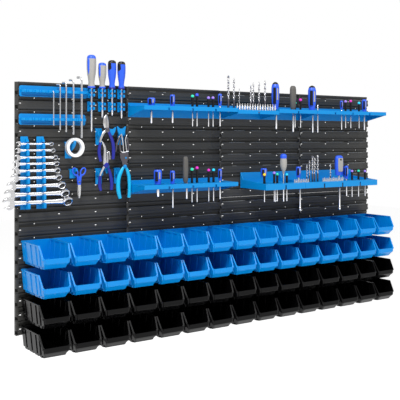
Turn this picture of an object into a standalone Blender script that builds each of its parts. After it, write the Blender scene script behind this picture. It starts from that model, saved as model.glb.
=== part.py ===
"""Pegboard tool wall: louvred plastic panels carrying hook-on bins, tool holders and hung tools.

Lengths are written in millimetres in the wall's own drawing: x runs right from the wall's left edge,
d runs out from the back plane towards the user, and z runs up from the panels' bottom edge.
place() turns them into world metres, with +X right, +Y into the wall and +Z up.
"""
import math

import bmesh
import bpy
from mathutils import Matrix, Vector

OBJECT_NAME = "pegboard_tool_wall"
MM = 0.001
GAP = 0.3

# Panels: a grid of louvred mouldings.
PANEL_WIDTH = 386.0
PANEL_HEIGHT = 390.0
PANEL_COLUMNS = 4
PANEL_DEPTH = 18.0
LOUVRES = 9
LOUVRE_PITCH = PANEL_HEIGHT / LOUVRES
LIP_RISE = 28.0
SIDE_BAR = 8.2
BAR_DEPTH = 7.6
HOLE_OFFSET = 12.5
HOLE_SPACING = PANEL_WIDTH / 3.0
HOLE_RADIUS = 4.0
KNUCKLE_REACH = 7.2
KNUCKLE_HALF_HEIGHT = 4.7
KNUCKLE_RISE = 8.7
KNUCKLE_STEP = 4
WALL_WIDTH = PANEL_COLUMNS * PANEL_WIDTH

# The row frame's origin on the panels' back plane.
ORIGIN_X = (WALL_WIDTH + KNUCKLE_REACH) / 2.0
ORIGIN_Z = PANEL_HEIGHT + LOUVRE_PITCH / 2.0

# Hooks that hang a piece on a louvre lip.
HOOK_TOP = 3.0
HOOK_THICKNESS = 2.4
PLATE_BACK = PANEL_DEPTH + 0.6
PLATE_FRONT = PLATE_BACK + HOOK_THICKNESS

# Bins.
BIN_COUNT = 15
BIN_WIDTH = 100.0
BIN_PITCH = 101.17
BIN_HEIGHT = 70.0
BIN_FRONT = 175.0
BIN_RIM_FRONT = 151.0
BIN_LIP_RISE = 32.0
BIN_WALL = 2.2
BIN_TAPER = 0.13
BIN_ROW_LOUVRES = (6, 4, 2, 0)

# Shelves: (name, left edge, width, hooking louvre, reach, plate height below the hook top, plate rise above it,
# depth of the deck below it).
SHELF_FULL = 382.0
SHELF_HALF = 189.0
SHELVES = (
    ("shelf_top_left", 389.0, SHELF_FULL, 16, 126.0, 48.0, 0.0, 12.0),
    ("shelf_top_bits", 772.0, SHELF_HALF, 16, 126.0, 48.0, 0.0, 18.0),
    ("shelf_top_middle", 962.0, SHELF_HALF, 16, 126.0, 48.0, 0.0, 12.0),
    ("shelf_top_right", 1152.0, SHELF_FULL, 16, 126.0, 48.0, 0.0, 12.0),
    ("shelf_lower_left", 390.0, SHELF_FULL, 10, 126.0, 46.0, 0.0, 12.0),
    ("shelf_lower_middle", 864.0, SHELF_HALF, 10, 167.0, 42.0, 15.0, 22.0),
    ("shelf_lower_right", 1054.0, SHELF_FULL, 10, 167.0, 42.0, 15.0, 22.0),
)
SHELF_LIP = 14.0
SHELF_DECK = 3.0
SHELF_HOLE = 5.0
SHELF_HOLE_PITCH = 42.0

# Hex key bars: (name, left edge, width, hooking louvre, plate height).
KEY_BARS = (("hex_key_bar_upper", 8.0, 229.0, 17, 34.0), ("hex_key_bar_lower", 7.0, 224.0, 15, 34.0))
KEY_BAR_REACH = 44.0
KEY_HOLES = 10

# Screwdrivers, left to right: (shaft x, handle radius, handle length, shaft length below the handle).
DRIVER_DEPTH = 29.0
DRIVERS = ((248.5, 15.5, 107.0, 142.0), (287.5, 13.7, 84.0, 98.0),
           (323.5, 14.2, 94.0, 89.0), (358.5, 13.8, 92.0, 98.0))
SHAFT_RADIUS = 3.4
CLIP_LOUVRES = (17, 16)
CLIP_HALF_WIDTH = 10.0
CLIP_HEIGHT = 32.0

# Wrench racks and the largest wrench.
RACKS = (("wrench_rack_left", 12.0), ("wrench_rack_right", 64.0))
RACK_WIDTH = 24.0
RACK_TOP = 611.0
RACK_BOTTOM = 386.0
RACK_COMB = 5.0
RACK_SLOT = 24.5
RACK_REACH = 43.0
WRENCH_TOP_Z = 588.0
WRENCH_PITCHES = (20.0, 22.0, 19.5, 21.4, 21.9, 24.8, 25.3, 25.7)
WRENCH_DEPTH = 30.0
WRENCH_LEFT = -50.0
WRENCH_RIGHT = 179.0

# Hooks for single tools: (name, left edge, width, hooking louvre, plate height).
PLIERS_HOOKS = (
    ("pliers_hook_upper_left", 268.0, 22.0, 14, 54.0),
    ("pliers_hook_upper_right", 350.0, 22.0, 14, 54.0),
    ("pliers_hook_lower_left", 268.0, 22.0, 11, 52.0),
    ("pliers_hook_lower_right", 336.0, 22.0, 11, 52.0),
)
TAPE_X = 182.0
TAPE_Z = 576.3
TAPE_OUTER = 30.2
TAPE_INNER = 20.5
TAPE_BACK = 37.0
TAPE_FRONT = 53.0
SCISSORS_X = 202.5
SCISSORS_PIVOT_Z = 466.0

AZURE = (0.02, 0.27, 0.83, 1.0)
CHARCOAL = (0.045, 0.047, 0.05, 1.0)
BLACK = (0.012, 0.012, 0.013, 1.0)
STEEL = (0.72, 0.72, 0.73, 1.0)
TOOL_BLUE = (0.03, 0.07, 0.62, 1.0)
TOOL_GREY = (0.42, 0.41, 0.40, 1.0)
TAPE_WHITE = (0.86, 0.86, 0.85, 1.0)


def place(x, d, z):
    """World position in metres of a point in the wall's drawing."""
    return Vector(((x - ORIGIN_X) * MM, -d * MM, (z - ORIGIN_Z) * MM))


def lip_z(louvre):
    """Height of the top of a louvre's lip, counted up from the panels' bottom edge."""
    return louvre * LOUVRE_PITCH + LIP_RISE


def clear_scene():
    for obj in list(bpy.data.objects):
        bpy.data.objects.remove(obj, do_unlink=True)


def new_collection(name):
    collection = bpy.data.collections.new(name)
    bpy.context.scene.collection.children.link(collection)
    return collection


def material(name, colour, roughness, metallic=0.0):
    made = bpy.data.materials.new(name)
    made.use_nodes = True
    shader = made.node_tree.nodes["Principled BSDF"]
    shader.inputs["Base Color"].default_value = colour
    shader.inputs["Roughness"].default_value = roughness
    shader.inputs["Metallic"].default_value = metallic
    made.diffuse_color = colour
    return made


def evaluated_mesh(obj, weld=1e-6):
    """The object's mesh with its curve or modifiers turned into faces, welded."""
    graph = bpy.context.evaluated_depsgraph_get()
    mesh = bpy.data.meshes.new_from_object(obj.evaluated_get(graph))
    cage = bmesh.new()
    cage.from_mesh(mesh)
    bmesh.ops.remove_doubles(cage, verts=cage.verts, dist=weld)
    cage.to_mesh(mesh)
    cage.free()
    return mesh


def flat_outline(points, thickness):
    """A flat outline drawn in the curve's own plane and thickened about it, as a closed mesh in mm."""
    curve = bpy.data.curves.new("outline", "CURVE")
    curve.dimensions = "2D"
    curve.fill_mode = "BOTH"
    curve.extrude = thickness / 2.0
    spline = curve.splines.new("POLY")
    spline.points.add(len(points) - 1)
    for point, (u, v) in zip(spline.points, points):
        point.co = (u, v, 0.0, 1.0)
    spline.use_cyclic_u = True
    obj = bpy.data.objects.new("outline", curve)
    bpy.context.scene.collection.objects.link(obj)
    mesh = evaluated_mesh(obj, weld=0.001)
    bpy.data.objects.remove(obj, do_unlink=True)
    return mesh


def side_profile(points, x_low, x_high):
    """Extrude an outline of (d, z) points along x."""
    mesh = flat_outline(points, x_high - x_low)
    middle = (x_low + x_high) / 2.0
    mesh.transform(Matrix(((0, 0, -1, middle), (1, 0, 0, 0), (0, 1, 0, 0), (0, 0, 0, 1))))
    return to_world(mesh)


def front_outline(points, d_low, d_high):
    """Extrude an outline of (x, z) points along d."""
    mesh = flat_outline(points, d_high - d_low)
    middle = (d_low + d_high) / 2.0
    mesh.transform(Matrix(((1, 0, 0, 0), (0, 0, 1, middle), (0, 1, 0, 0), (0, 0, 0, 1))))
    return to_world(mesh)


def to_world(mesh):
    """Turn a mesh drawn in (x, d, z) millimetres into world metres, with its faces pointing out."""
    for vertex in mesh.vertices:
        vertex.co = place(*vertex.co)
    cage = bmesh.new()
    cage.from_mesh(mesh)
    bmesh.ops.recalc_face_normals(cage, faces=cage.faces)
    cage.to_mesh(mesh)
    cage.free()
    return mesh


def blocks(boxes):
    """One mesh of separate boxes, each (x low, x high, d low, d high, z low, z high)."""
    cage = bmesh.new()
    for x0, x1, d0, d1, z0, z1 in boxes:
        low = place(x0, d1, z0)
        high = place(x1, d0, z1)
        centre = Matrix.Translation((low + high) / 2.0)
        bmesh.ops.create_cube(cage, size=1.0, matrix=centre @ Matrix.Diagonal((*(high - low), 1.0)))
    mesh = bpy.data.meshes.new("blocks")
    cage.to_mesh(mesh)
    cage.free()
    return mesh


def rods(items, axis, sides):
    """One mesh of separate round rods, each (centre x, d, z, radius, length), along x, d or z."""
    turn = {"x": Matrix.Rotation(math.pi / 2.0, 4, "Y"), "d": Matrix.Rotation(math.pi / 2.0, 4, "X"),
            "z": Matrix.Identity(4)}[axis]
    cage = bmesh.new()
    for x, d, z, radius, length in items:
        bmesh.ops.create_cone(cage, cap_ends=True, segments=sides, radius1=radius * MM, radius2=radius * MM,
                              depth=length * MM, matrix=Matrix.Translation(place(x, d, z)) @ turn)
    mesh = bpy.data.meshes.new("rods")
    cage.to_mesh(mesh)
    cage.free()
    return mesh


def combine(base, *steps):
    """Apply boolean steps, each (operation, mesh), to a mesh and return the result."""
    obj = bpy.data.objects.new("base", base)
    bpy.context.scene.collection.objects.link(obj)
    helpers = []
    for operation, mesh in steps:
        helper = bpy.data.objects.new("cutter", mesh)
        cutters.objects.link(helper)
        helper.hide_render = True
        helper.display_type = "WIRE"
        helpers.append(helper)
        modifier = obj.modifiers.new(operation.lower(), "BOOLEAN")
        modifier.operation = operation
        modifier.solver = "EXACT"
        modifier.object = helper
    mesh = evaluated_mesh(obj)
    for helper in helpers:
        bpy.data.objects.remove(helper, do_unlink=True)
    bpy.data.objects.remove(obj, do_unlink=True)
    cage = bmesh.new()
    cage.from_mesh(mesh)
    bmesh.ops.dissolve_limit(cage, angle_limit=0.0005, verts=cage.verts, edges=cage.edges)
    cage.to_mesh(mesh)
    cage.free()
    return mesh


def add_piece(name, mesh, finish, origin=(0.0, 0.0, 0.0), shift=(0.0, 0.0, 0.0)):
    """Put a world mesh in the parts collection, moved by shift, with its object origin at origin."""
    own = mesh.copy()
    own.transform(Matrix.Translation(Vector(shift) - Vector(origin)))
    own.materials.clear()
    own.materials.append(finish)
    obj = bpy.data.objects.new(name, own)
    obj.location = origin
    parts.objects.link(obj)
    return obj


def hook_profile(louvre, plate_height, rest=()):
    """Outline of a hook over a louvre lip, its back plate, and any more points up the plate's front."""
    lip = lip_z(louvre)
    top = lip + HOOK_TOP
    outline = [(11.0, top), (11.0, lip - 4.0), (13.2, lip - 4.0), (13.2, lip + 0.4), (PLATE_BACK, lip + 0.4),
               (PLATE_BACK, top - plate_height), (PLATE_FRONT, top - plate_height)]
    return outline + list(rest) + [(PLATE_FRONT, top)]


def louvre_skin():
    """Front and rear lines of the louvred skin, joined into one closed outline of (d, z) points."""
    front = []
    rear = []
    for louvre in range(LOUVRES):
        z = louvre * LOUVRE_PITCH
        foot = max(z, GAP / 2.0)
        front += [(14.3, foot), (PANEL_DEPTH, z + LIP_RISE), (15.6, z + LIP_RISE), (15.6, z + 22.5),
                  (9.0, z + 22.5), (9.0, z + LIP_RISE)]
        rear += [(12.0, foot), (13.4, z + 20.1), (6.6, z + 20.1), (6.6, z + LIP_RISE + 0.6)]
    top = PANEL_HEIGHT - GAP / 2.0
    front.append((14.2, top))
    rear.append((11.9, top))
    return front + rear[::-1]


def panel_mesh():
    """A panel at the wall's bottom left: louvred skin, rear side bars, knuckles, sockets and screw holes."""
    left = GAP / 2.0
    right = PANEL_WIDTH - GAP / 2.0
    skin = side_profile(louvre_skin(), SIDE_BAR - 1.0, right)
    bars = blocks([(left, SIDE_BAR, 0.0, BAR_DEPTH, GAP, PANEL_HEIGHT - GAP),
                   (right - SIDE_BAR, right - GAP, 0.0, BAR_DEPTH, GAP, PANEL_HEIGHT - GAP)])
    knuckles = []
    sockets = []
    for louvre in range(0, LOUVRES, KNUCKLE_STEP):
        z = louvre * LOUVRE_PITCH + KNUCKLE_RISE
        knuckles.append((right - 3.0, right + KNUCKLE_REACH, 1.6, BAR_DEPTH - 0.6,
                         z - KNUCKLE_HALF_HEIGHT, z + KNUCKLE_HALF_HEIGHT))
        sockets.append((-1.0, KNUCKLE_REACH + 0.5, 1.0, BAR_DEPTH + 9.0,
                        z - KNUCKLE_HALF_HEIGHT - 0.6, z + KNUCKLE_HALF_HEIGHT + 0.6))
    holes = []
    for louvre in (0, LOUVRES - 1):
        for column in (0, 2):
            x = HOLE_OFFSET + column * HOLE_SPACING
            holes.append((x, 11.0, (louvre + 0.5) * LOUVRE_PITCH, HOLE_RADIUS, 28.0))
    return combine(skin, ("UNION", bars), ("UNION", blocks(knuckles)), ("DIFFERENCE", blocks(sockets)),
                   ("DIFFERENCE", rods(holes, "d", 6)))


def bin_outline(rim):
    """Side outline of a bin with its hook over the lip, from the rim's height."""
    bottom = rim - BIN_HEIGHT
    lip = bottom + BIN_LIP_RISE
    return [(PLATE_BACK, bottom), (PLATE_BACK, rim - 2.6), (13.2, rim - 2.6), (13.2, rim - 7.0),
            (11.0, rim - 7.0), (11.0, rim), (BIN_RIM_FRONT, rim), (BIN_FRONT, lip),
            (BIN_FRONT + 0.5, lip - 13.0), (BIN_FRONT - 16.0, bottom)]


def cavity_outline(rim):
    """Side outline of a bin's hollow, open at the top and above the front lip."""
    floor = rim - BIN_HEIGHT + BIN_WALL
    lip = rim - BIN_HEIGHT + BIN_LIP_RISE
    back = PLATE_BACK + BIN_WALL
    return [(back, floor), (back, rim + 9.0), (BIN_FRONT + 9.0, rim + 9.0), (BIN_FRONT + 9.0, lip),
            (BIN_FRONT - BIN_WALL, lip), (BIN_FRONT - BIN_WALL, lip - 12.0), (BIN_FRONT - 18.4, floor)]


def narrowed(mesh, centre, rim, top_half_width):
    """Draw a mesh's sides in towards its bottom, about the plane x = centre."""
    for vertex in mesh.vertices:
        below = (place(0.0, 0.0, rim).z - vertex.co.z) / (BIN_HEIGHT * MM)
        side = math.copysign(1.0, vertex.co.x - place(centre, 0.0, 0.0).x)
        half = top_half_width * (1.0 - BIN_TAPER * below) * MM
        vertex.co.x = place(centre, 0.0, 0.0).x + side * half
    return mesh


def bin_mesh(centre, rim):
    """One open-fronted bin with a hook along its back edge."""
    half = BIN_WIDTH / 2.0
    shell = narrowed(side_profile(bin_outline(rim), centre - half, centre + half), centre, rim, half)
    hollow = side_profile(cavity_outline(rim), centre - half, centre + half)
    hollow = narrowed(hollow, centre, rim, half - BIN_WALL)
    return combine(shell, ("DIFFERENCE", hollow))


def joined(meshes):
    """One mesh that holds several separate closed bodies."""
    cage = bmesh.new()
    for mesh in meshes:
        cage.from_mesh(mesh)
    result = bpy.data.meshes.new("joined")
    cage.to_mesh(result)
    cage.free()
    return result


def bin_centre(index):
    return WALL_WIDTH / 2.0 + (index - (BIN_COUNT - 1) / 2.0) * BIN_PITCH


def build_panels():
    mesh = panel_mesh()
    for row, level in enumerate(("lower", "upper")):
        for column in range(PANEL_COLUMNS):
            name = f"panel_{level}_{column + 1}"
            shift = (column * PANEL_WIDTH * MM, 0.0, row * PANEL_HEIGHT * MM)
            add_piece(name, mesh, material(name, CHARCOAL, 0.55), shift=shift)


def build_bins():
    rims = [lip_z(louvre) + HOOK_TOP for louvre in BIN_ROW_LOUVRES]
    single = bin_mesh(bin_centre(0), rims[0])
    for index in range(BIN_COUNT):
        name = f"bin_blue_{index + 1:02d}"
        shift = Vector((index * BIN_PITCH * MM, 0.0, 0.0))
        origin = place(bin_centre(index), PLATE_BACK, rims[0])
        add_piece(name, single, material(name, AZURE, 0.35), origin=origin, shift=shift)
    strip = blocks([(bin_centre(0) - 30.0, bin_centre(BIN_COUNT - 1) + 30.0, 13.6, PLATE_BACK + 1.2,
                     rims[0] - 2.3, rims[0] - 0.2)])
    copies = []
    for index in range(BIN_COUNT):
        copy = single.copy()
        copy.transform(Matrix.Translation((index * BIN_PITCH * MM, 0.0, 0.0)))
        copies.append(copy)
    row_mesh = combine(joined(copies), ("UNION", strip))
    for name, rim, colour in zip(("bin_row_blue", "bin_row_black_upper", "bin_row_black_lower"), rims[1:],
                                 (AZURE, BLACK, BLACK)):
        add_piece(name, row_mesh, material(name, colour, 0.35), shift=(0.0, 0.0, (rim - rims[0]) * MM))


def build_shelves():
    for name, left, width, louvre, reach, height, rise, drop in SHELVES:
        top = lip_z(louvre) + HOOK_TOP
        deck = top - drop
        foot = deck - SHELF_LIP - rise / 2.0
        front = [(PLATE_FRONT, deck - SHELF_DECK), (reach - 2.5, deck - SHELF_DECK),
                 (reach - 2.5, foot), (reach, foot), (reach, deck), (PLATE_FRONT, deck)]
        if rise:
            front += [(PLATE_FRONT, top + rise), (PLATE_BACK, top + rise), (PLATE_BACK, top)]
        body = side_profile(hook_profile(louvre, height, front)[:-1 if rise else None], left, left + width)
        gusset = [(PLATE_FRONT - 1.0, top - height + 1.0), (PLATE_FRONT - 1.0, deck + 6.0 + rise),
                  (reach - 1.0, deck - 0.5), (reach - 1.0, foot + 0.5)]
        ends = joined([side_profile(gusset, left + 0.4, left + 3.4),
                       side_profile(gusset, left + width - 3.4, left + width - 0.4)])
        count = int((width - 30.0) // SHELF_HOLE_PITCH) + 1
        first = left + width / 2.0 - (count - 1) / 2.0 * SHELF_HOLE_PITCH
        half = SHELF_HOLE
        holes = blocks([(first + i * SHELF_HOLE_PITCH - half, first + i * SHELF_HOLE_PITCH + half,
                         reach - 34.0 - half, reach - 34.0 + half, deck - 9.0, deck + 9.0)
                        for i in range(count)])
        add_piece(name, combine(body, ("UNION", ends), ("DIFFERENCE", holes)), material(name, AZURE, 0.35))


def build_key_bars():
    for name, left, width, louvre, height in KEY_BARS:
        top = lip_z(louvre) + HOOK_TOP
        deck = top - 15.0
        front = [(PLATE_FRONT, deck - 3.0), (KEY_BAR_REACH, deck - 3.0), (KEY_BAR_REACH, deck),
                 (PLATE_FRONT, deck)]
        body = side_profile(hook_profile(louvre, height, front), left, left + width)
        pitch = width / (KEY_HOLES + 0.6)
        first = left + width / 2.0 - (KEY_HOLES - 1) / 2.0 * pitch
        holes = blocks([(first + i * pitch - 4.5, first + i * pitch + 4.5, 30.0, 39.0, deck - 9.0, deck + 9.0)
                        for i in range(KEY_HOLES)])
        add_piece(name, combine(body, ("DIFFERENCE", holes)), material(name, AZURE, 0.35))


def build_driver_clips():
    for number, driver in enumerate(DRIVERS, start=1):
        x = driver[0]
        for level, louvre in zip(("upper", "lower"), CLIP_LOUVRES):
            top = lip_z(louvre) + HOOK_TOP
            plate = side_profile(hook_profile(louvre, CLIP_HEIGHT), x - CLIP_HALF_WIDTH, x + CLIP_HALF_WIDTH)
            low = top - CLIP_HEIGHT + 4.0
            high = top - 4.0
            front = DRIVER_DEPTH + 8.0
            arms = blocks([(x - 8.0, x - 4.6, PLATE_FRONT - 1.0, front, low, high),
                           (x + 4.6, x + 8.0, PLATE_FRONT - 1.0, front, low, high)])
            tips = blocks([(x - 5.6, x - 2.4, front - 3.0, front + 2.0, low + 1.0, high - 1.0),
                           (x + 2.4, x + 5.6, front - 3.0, front + 2.0, low + 1.0, high - 1.0)])
            name = f"driver_clip_{level}_{number}"
            add_piece(name, combine(plate, ("UNION", arms), ("UNION", tips)), material(name, AZURE, 0.35))


def driver_profile(handle_radius, handle_length, shaft_length):
    """Radius and height of a screwdriver, from its crown down to its tip, from the handle's foot."""
    body = [(0.0, 1.0), (0.62, 0.985), (0.9, 0.93), (1.0, 0.8), (0.98, 0.45), (0.72, 0.2), (0.74, 0.0)]
    points = [(handle_radius * r, handle_length * h) for r, h in body]
    points += [(SHAFT_RADIUS, 0.0), (SHAFT_RADIUS, 4.0 - shaft_length), (1.2, -shaft_length), (0.0, -shaft_length)]
    return points


def turned(profile, centre, sides):
    """A profile of (radius, height) points in mm, turned about the vertical through centre."""
    mesh = bpy.data.meshes.new("profile")
    mesh.from_pydata([(r * MM, 0.0, z * MM) for r, z in profile],
                     [(i, i + 1) for i in range(len(profile) - 1)], [])
    obj = bpy.data.objects.new("profile", mesh)
    bpy.context.scene.collection.objects.link(obj)
    screw = obj.modifiers.new("turn", "SCREW")
    screw.steps = sides
    screw.render_steps = sides
    screw.use_merge_vertices = True
    screw.merge_threshold = 0.00002
    result = evaluated_mesh(obj)
    bpy.data.objects.remove(obj, do_unlink=True)
    result.transform(Matrix.Translation(centre))
    return result


def build_drivers():
    foot = lip_z(CLIP_LOUVRES[0]) + HOOK_TOP + GAP
    finishes = (TOOL_GREY, TOOL_GREY, TOOL_BLUE, TOOL_BLUE)
    for number, ((x, radius, length, shaft), colour) in enumerate(zip(DRIVERS, finishes), start=1):
        name = f"screwdriver_{number}"
        origin = place(x, DRIVER_DEPTH, foot)
        mesh = turned(driver_profile(radius, length, shaft), origin, 12)
        add_piece(name, mesh, material(name, colour, 0.4), origin=origin)


def wrench_levels():
    """Heights of the nine wrench slots, from the top down."""
    levels = [WRENCH_TOP_Z]
    for pitch in WRENCH_PITCHES:
        levels.append(levels[-1] - pitch)
    return levels


def build_wrench_racks():
    slots = blocks([(0.0, 110.0, RACK_SLOT, 60.0, level - 6.0, level + 6.0) for level in wrench_levels()])
    for name, left in RACKS:
        louvre = 13
        hook_top = lip_z(louvre) + HOOK_TOP
        plate = side_profile(hook_profile(louvre, hook_top - RACK_BOTTOM), left, left + RACK_WIDTH)
        crown = blocks([(left + 0.3, left + RACK_WIDTH - 0.3, PLATE_BACK + 0.2, PLATE_FRONT - 0.2,
                         hook_top - 2.0, RACK_TOP)])
        teeth = [(PLATE_FRONT - 1.0, RACK_BOTTOM + 1.0), (RACK_REACH, RACK_BOTTOM + 1.0),
                 (RACK_SLOT + 5.0, hook_top - 1.0), (PLATE_FRONT - 1.0, hook_top - 1.0)]
        comb = side_profile(teeth, left + RACK_WIDTH - RACK_COMB, left + RACK_WIDTH - 0.2)
        mesh = combine(plate, ("UNION", crown), ("UNION", comb), ("DIFFERENCE", slots))
        add_piece(name, mesh, material(name, AZURE, 0.35))


def build_wrench():
    """The largest combination wrench, lying in the lowest slots of both racks."""
    z = wrench_levels()[-1]
    low = WRENCH_DEPTH - 3.0
    high = WRENCH_DEPTH + 3.0
    shank = blocks([(WRENCH_LEFT + 22.0, WRENCH_RIGHT - 24.0, low + 0.5, high - 0.5, z - 5.4, z + 5.4)])
    ring = rods([(WRENCH_RIGHT - 17.0, WRENCH_DEPTH, z, 17.0, 9.0)], "d", 16)
    bore = rods([(WRENCH_RIGHT - 17.0, WRENCH_DEPTH, z, 10.0, 20.0)], "d", 12)
    jaw = rods([(WRENCH_LEFT + 20.0, WRENCH_DEPTH, z, 19.0, 8.0)], "d", 16)
    mouth = blocks([(WRENCH_LEFT - 9.0, WRENCH_LEFT + 22.0, low - 9.0, high + 9.0, z - 9.0, z + 9.0)])
    mesh = combine(shank, ("UNION", ring), ("UNION", jaw), ("DIFFERENCE", bore), ("DIFFERENCE", mouth))
    origin = place(WRENCH_RIGHT - 17.0, WRENCH_DEPTH, z)
    add_piece("wrench_large", mesh, material("wrench_large", STEEL, 0.25, 1.0), origin=origin)


def build_hooks():
    for name, left, width, louvre, height in PLIERS_HOOKS:
        plate = side_profile(hook_profile(louvre, height), left, left + width)
        top = lip_z(louvre) + HOOK_TOP
        peg = [(PLATE_FRONT - 1.0, top - 30.0), (PLATE_FRONT - 1.0, top - 12.0), (28.0, top - 12.0),
               (33.5, top - 8.0), (33.5, top - 22.0)]
        pegs = joined([side_profile(peg, left + 1.0, left + 4.5),
                       side_profile(peg, left + width - 4.5, left + width - 1.0)])
        add_piece(name, combine(plate, ("UNION", pegs)), material(name, AZURE, 0.35))

    plate = side_profile(hook_profile(13, 53.0), 160.0, 182.0)
    arm = side_profile([(PLATE_FRONT - 1.0, 562.0), (PLATE_FRONT - 1.0, 580.0), (TAPE_FRONT + 1.0, 591.0),
                        (62.0, 598.0), (63.0, 588.0)], TAPE_X - 12.0, TAPE_X - 2.0)
    web = side_profile([(PLATE_FRONT - 1.0, 562.0), (PLATE_FRONT - 1.0, 580.0), (30.0, 582.0), (30.0, 566.0)],
                       TAPE_X - 14.0, TAPE_X - 3.0)
    add_piece("tape_hook", combine(plate, ("UNION", web), ("UNION", arm)), material("tape_hook", AZURE, 0.35))

    plate = side_profile(hook_profile(11, 30.0), 176.0, 196.0)
    peg = side_profile([(PLATE_FRONT - 1.0, 494.0), (PLATE_FRONT - 1.0, 504.0), (39.5, 506.3), (41.0, 510.0),
                        (43.5, 510.0), (43.5, 501.0)], SCISSORS_X - 16.0, SCISSORS_X - 10.0)
    mesh = combine(plate, ("UNION", peg))
    add_piece("scissors_hook", mesh, material("scissors_hook", AZURE, 0.35))


def build_tape():
    centre = (TAPE_X, (TAPE_BACK + TAPE_FRONT) / 2.0, TAPE_Z)
    width = TAPE_FRONT - TAPE_BACK
    disc = rods([(*centre, TAPE_OUTER, width)], "d", 32)
    bore = rods([(*centre, TAPE_INNER, width + 8.0)], "d", 32)
    mesh = combine(disc, ("DIFFERENCE", bore))
    add_piece("tape_roll", mesh, material("tape_roll", TAPE_WHITE, 0.6), origin=place(*centre))


def build_scissors():
    """Two halves in neighbouring layers: a blade below the pivot and a ring handle above it."""
    pivot = (SCISSORS_X, SCISSORS_PIVOT_Z)
    ring = (SCISSORS_X - 13.0, SCISSORS_PIVOT_Z + 34.0)
    for side, letter, layer in ((1.0, "a", 31.0), (-1.0, "b", 34.2)):
        thickness = 2.8
        lever = [(3.5, -52.0), (-2.5, -30.0), (-5.5, 0.0), (-10.5, 14.0), (-16.0, 21.0), (-9.0, 26.0),
                 (-2.0, 14.0), (5.5, 3.0), (5.0, -30.0)]
        outline = [(pivot[0] + side * x, pivot[1] + z) for x, z in lever]
        half = front_outline(outline, layer, layer + thickness)
        centre_x = pivot[0] + side * (ring[0] - pivot[0])
        middle = layer + thickness / 2.0
        loop = rods([(centre_x, middle, ring[1], 12.3, thickness - 0.2)], "d", 20)
        hole = rods([(centre_x, middle, ring[1], 8.6, thickness + 6.0)], "d", 20)
        mesh = combine(half, ("UNION", loop), ("DIFFERENCE", hole))
        name = f"scissors_half_{letter}"
        add_piece(name, mesh, material(name, TOOL_BLUE, 0.35), origin=place(pivot[0], middle, pivot[1]))


clear_scene()
parts = new_collection(OBJECT_NAME)
cutters = new_collection("cutters")
build_panels()
build_bins()
build_shelves()
build_key_bars()
build_driver_clips()
build_drivers()
build_wrench_racks()
build_wrench()
build_hooks()
build_tape()
build_scissors()
print(f"{len(parts.objects)} pieces")
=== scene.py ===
# %% [markdown]
# # A pegboard tool wall
# Eight louvred plastic panels carry rows of hook-on bins, shelves, clips and racks, with the tools that
# hang on them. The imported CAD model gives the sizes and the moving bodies. This lesson builds the fine
# surfaces over it: each shape is worked out as arrays of points and then handed to a mesh.

# %% Load the CAD frame
import math
import bpy
import numpy as np
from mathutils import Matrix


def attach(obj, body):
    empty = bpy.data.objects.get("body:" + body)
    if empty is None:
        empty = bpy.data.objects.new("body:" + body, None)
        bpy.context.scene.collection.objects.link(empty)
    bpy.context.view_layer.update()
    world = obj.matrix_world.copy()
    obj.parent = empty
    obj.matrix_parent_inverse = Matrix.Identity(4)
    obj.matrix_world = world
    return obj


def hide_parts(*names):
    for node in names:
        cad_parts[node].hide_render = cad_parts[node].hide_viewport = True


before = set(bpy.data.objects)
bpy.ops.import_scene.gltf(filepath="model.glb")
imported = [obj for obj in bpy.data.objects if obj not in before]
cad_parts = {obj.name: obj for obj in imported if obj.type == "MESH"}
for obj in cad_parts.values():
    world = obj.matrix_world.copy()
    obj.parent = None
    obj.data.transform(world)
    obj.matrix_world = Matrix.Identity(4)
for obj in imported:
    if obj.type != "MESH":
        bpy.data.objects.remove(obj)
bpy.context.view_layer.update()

# %% [markdown]
# The wall is drawn in its own millimetres: x to the right from the left edge, d out from the back plane,
# and z up from the panels' bottom edge. One function turns that drawing into the frame's metres.

# %% The wall's drawing
PANEL_W, PANEL_H, LOUVRES = 386.0, 390.0, 9
PITCH = PANEL_H / LOUVRES
LIP = 28.0
KNUCKLE_REACH = 7.2
ORIGIN_X = (4 * PANEL_W + KNUCKLE_REACH) / 2.0
ORIGIN_Z = PANEL_H + PITCH / 2.0
BLADE_FRONT = 21.0


def wall(points):
    """World metres of wall millimetres: x is centred, d points to -Y, and z is lowered to the origin."""
    p = np.asarray(points, dtype=float)
    return np.stack((p[..., 0] - ORIGIN_X, -p[..., 1], p[..., 2] - ORIGIN_Z), axis=-1) * 0.001


def lip_z(louvre):
    """Height of a louvre's lip: its number times the pitch, plus the lip's rise."""
    return louvre * PITCH + LIP


print("louvre pitch", round(PITCH, 2), "mm")

# %% [markdown]
# Every shape below is a pair: an array of points and a list of faces. Blender's own primitives could be
# added and edited one by one, but a wall of this kind repeats the same few outlines many hundreds of times,
# so the points are worked out as arrays. Shapes are joined by stacking their points and shifting their face
# numbers, so one object can hold a whole holder or a whole row of bins.

# %% Shapes from arrays
def join(*shapes):
    """Stack shapes into one: each shape's face numbers move up by the points already stacked."""
    points, faces, count = [], [], 0
    for verts, polygons in shapes:
        points.append(np.asarray(verts, dtype=float))
        faces.extend(tuple(i + count for i in face) for face in polygons)
        count += len(verts)
    return np.concatenate(points), faces


def moved(shape, dx=0.0, dz=0.0):
    """The same shape shifted along the wall and up it."""
    return shape[0] + np.array((dx, 0.0, dz)), shape[1]


def grid_faces(rows, columns, wrap=False, keep=None):
    """Quads between neighbours of a rows x columns grid, left out where the keep mask is false."""
    span = columns if wrap else columns - 1
    i, j = np.meshgrid(np.arange(rows - 1), np.arange(span), indexing="ij")
    k = (j + 1) % columns
    low, high = i * columns, (i + 1) * columns
    quads = np.stack((low + j, low + k, high + k, high + j), axis=-1)
    if keep is not None:
        quads = quads[keep]
    return [tuple(q) for q in quads.reshape(-1, 4).tolist()]


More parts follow.
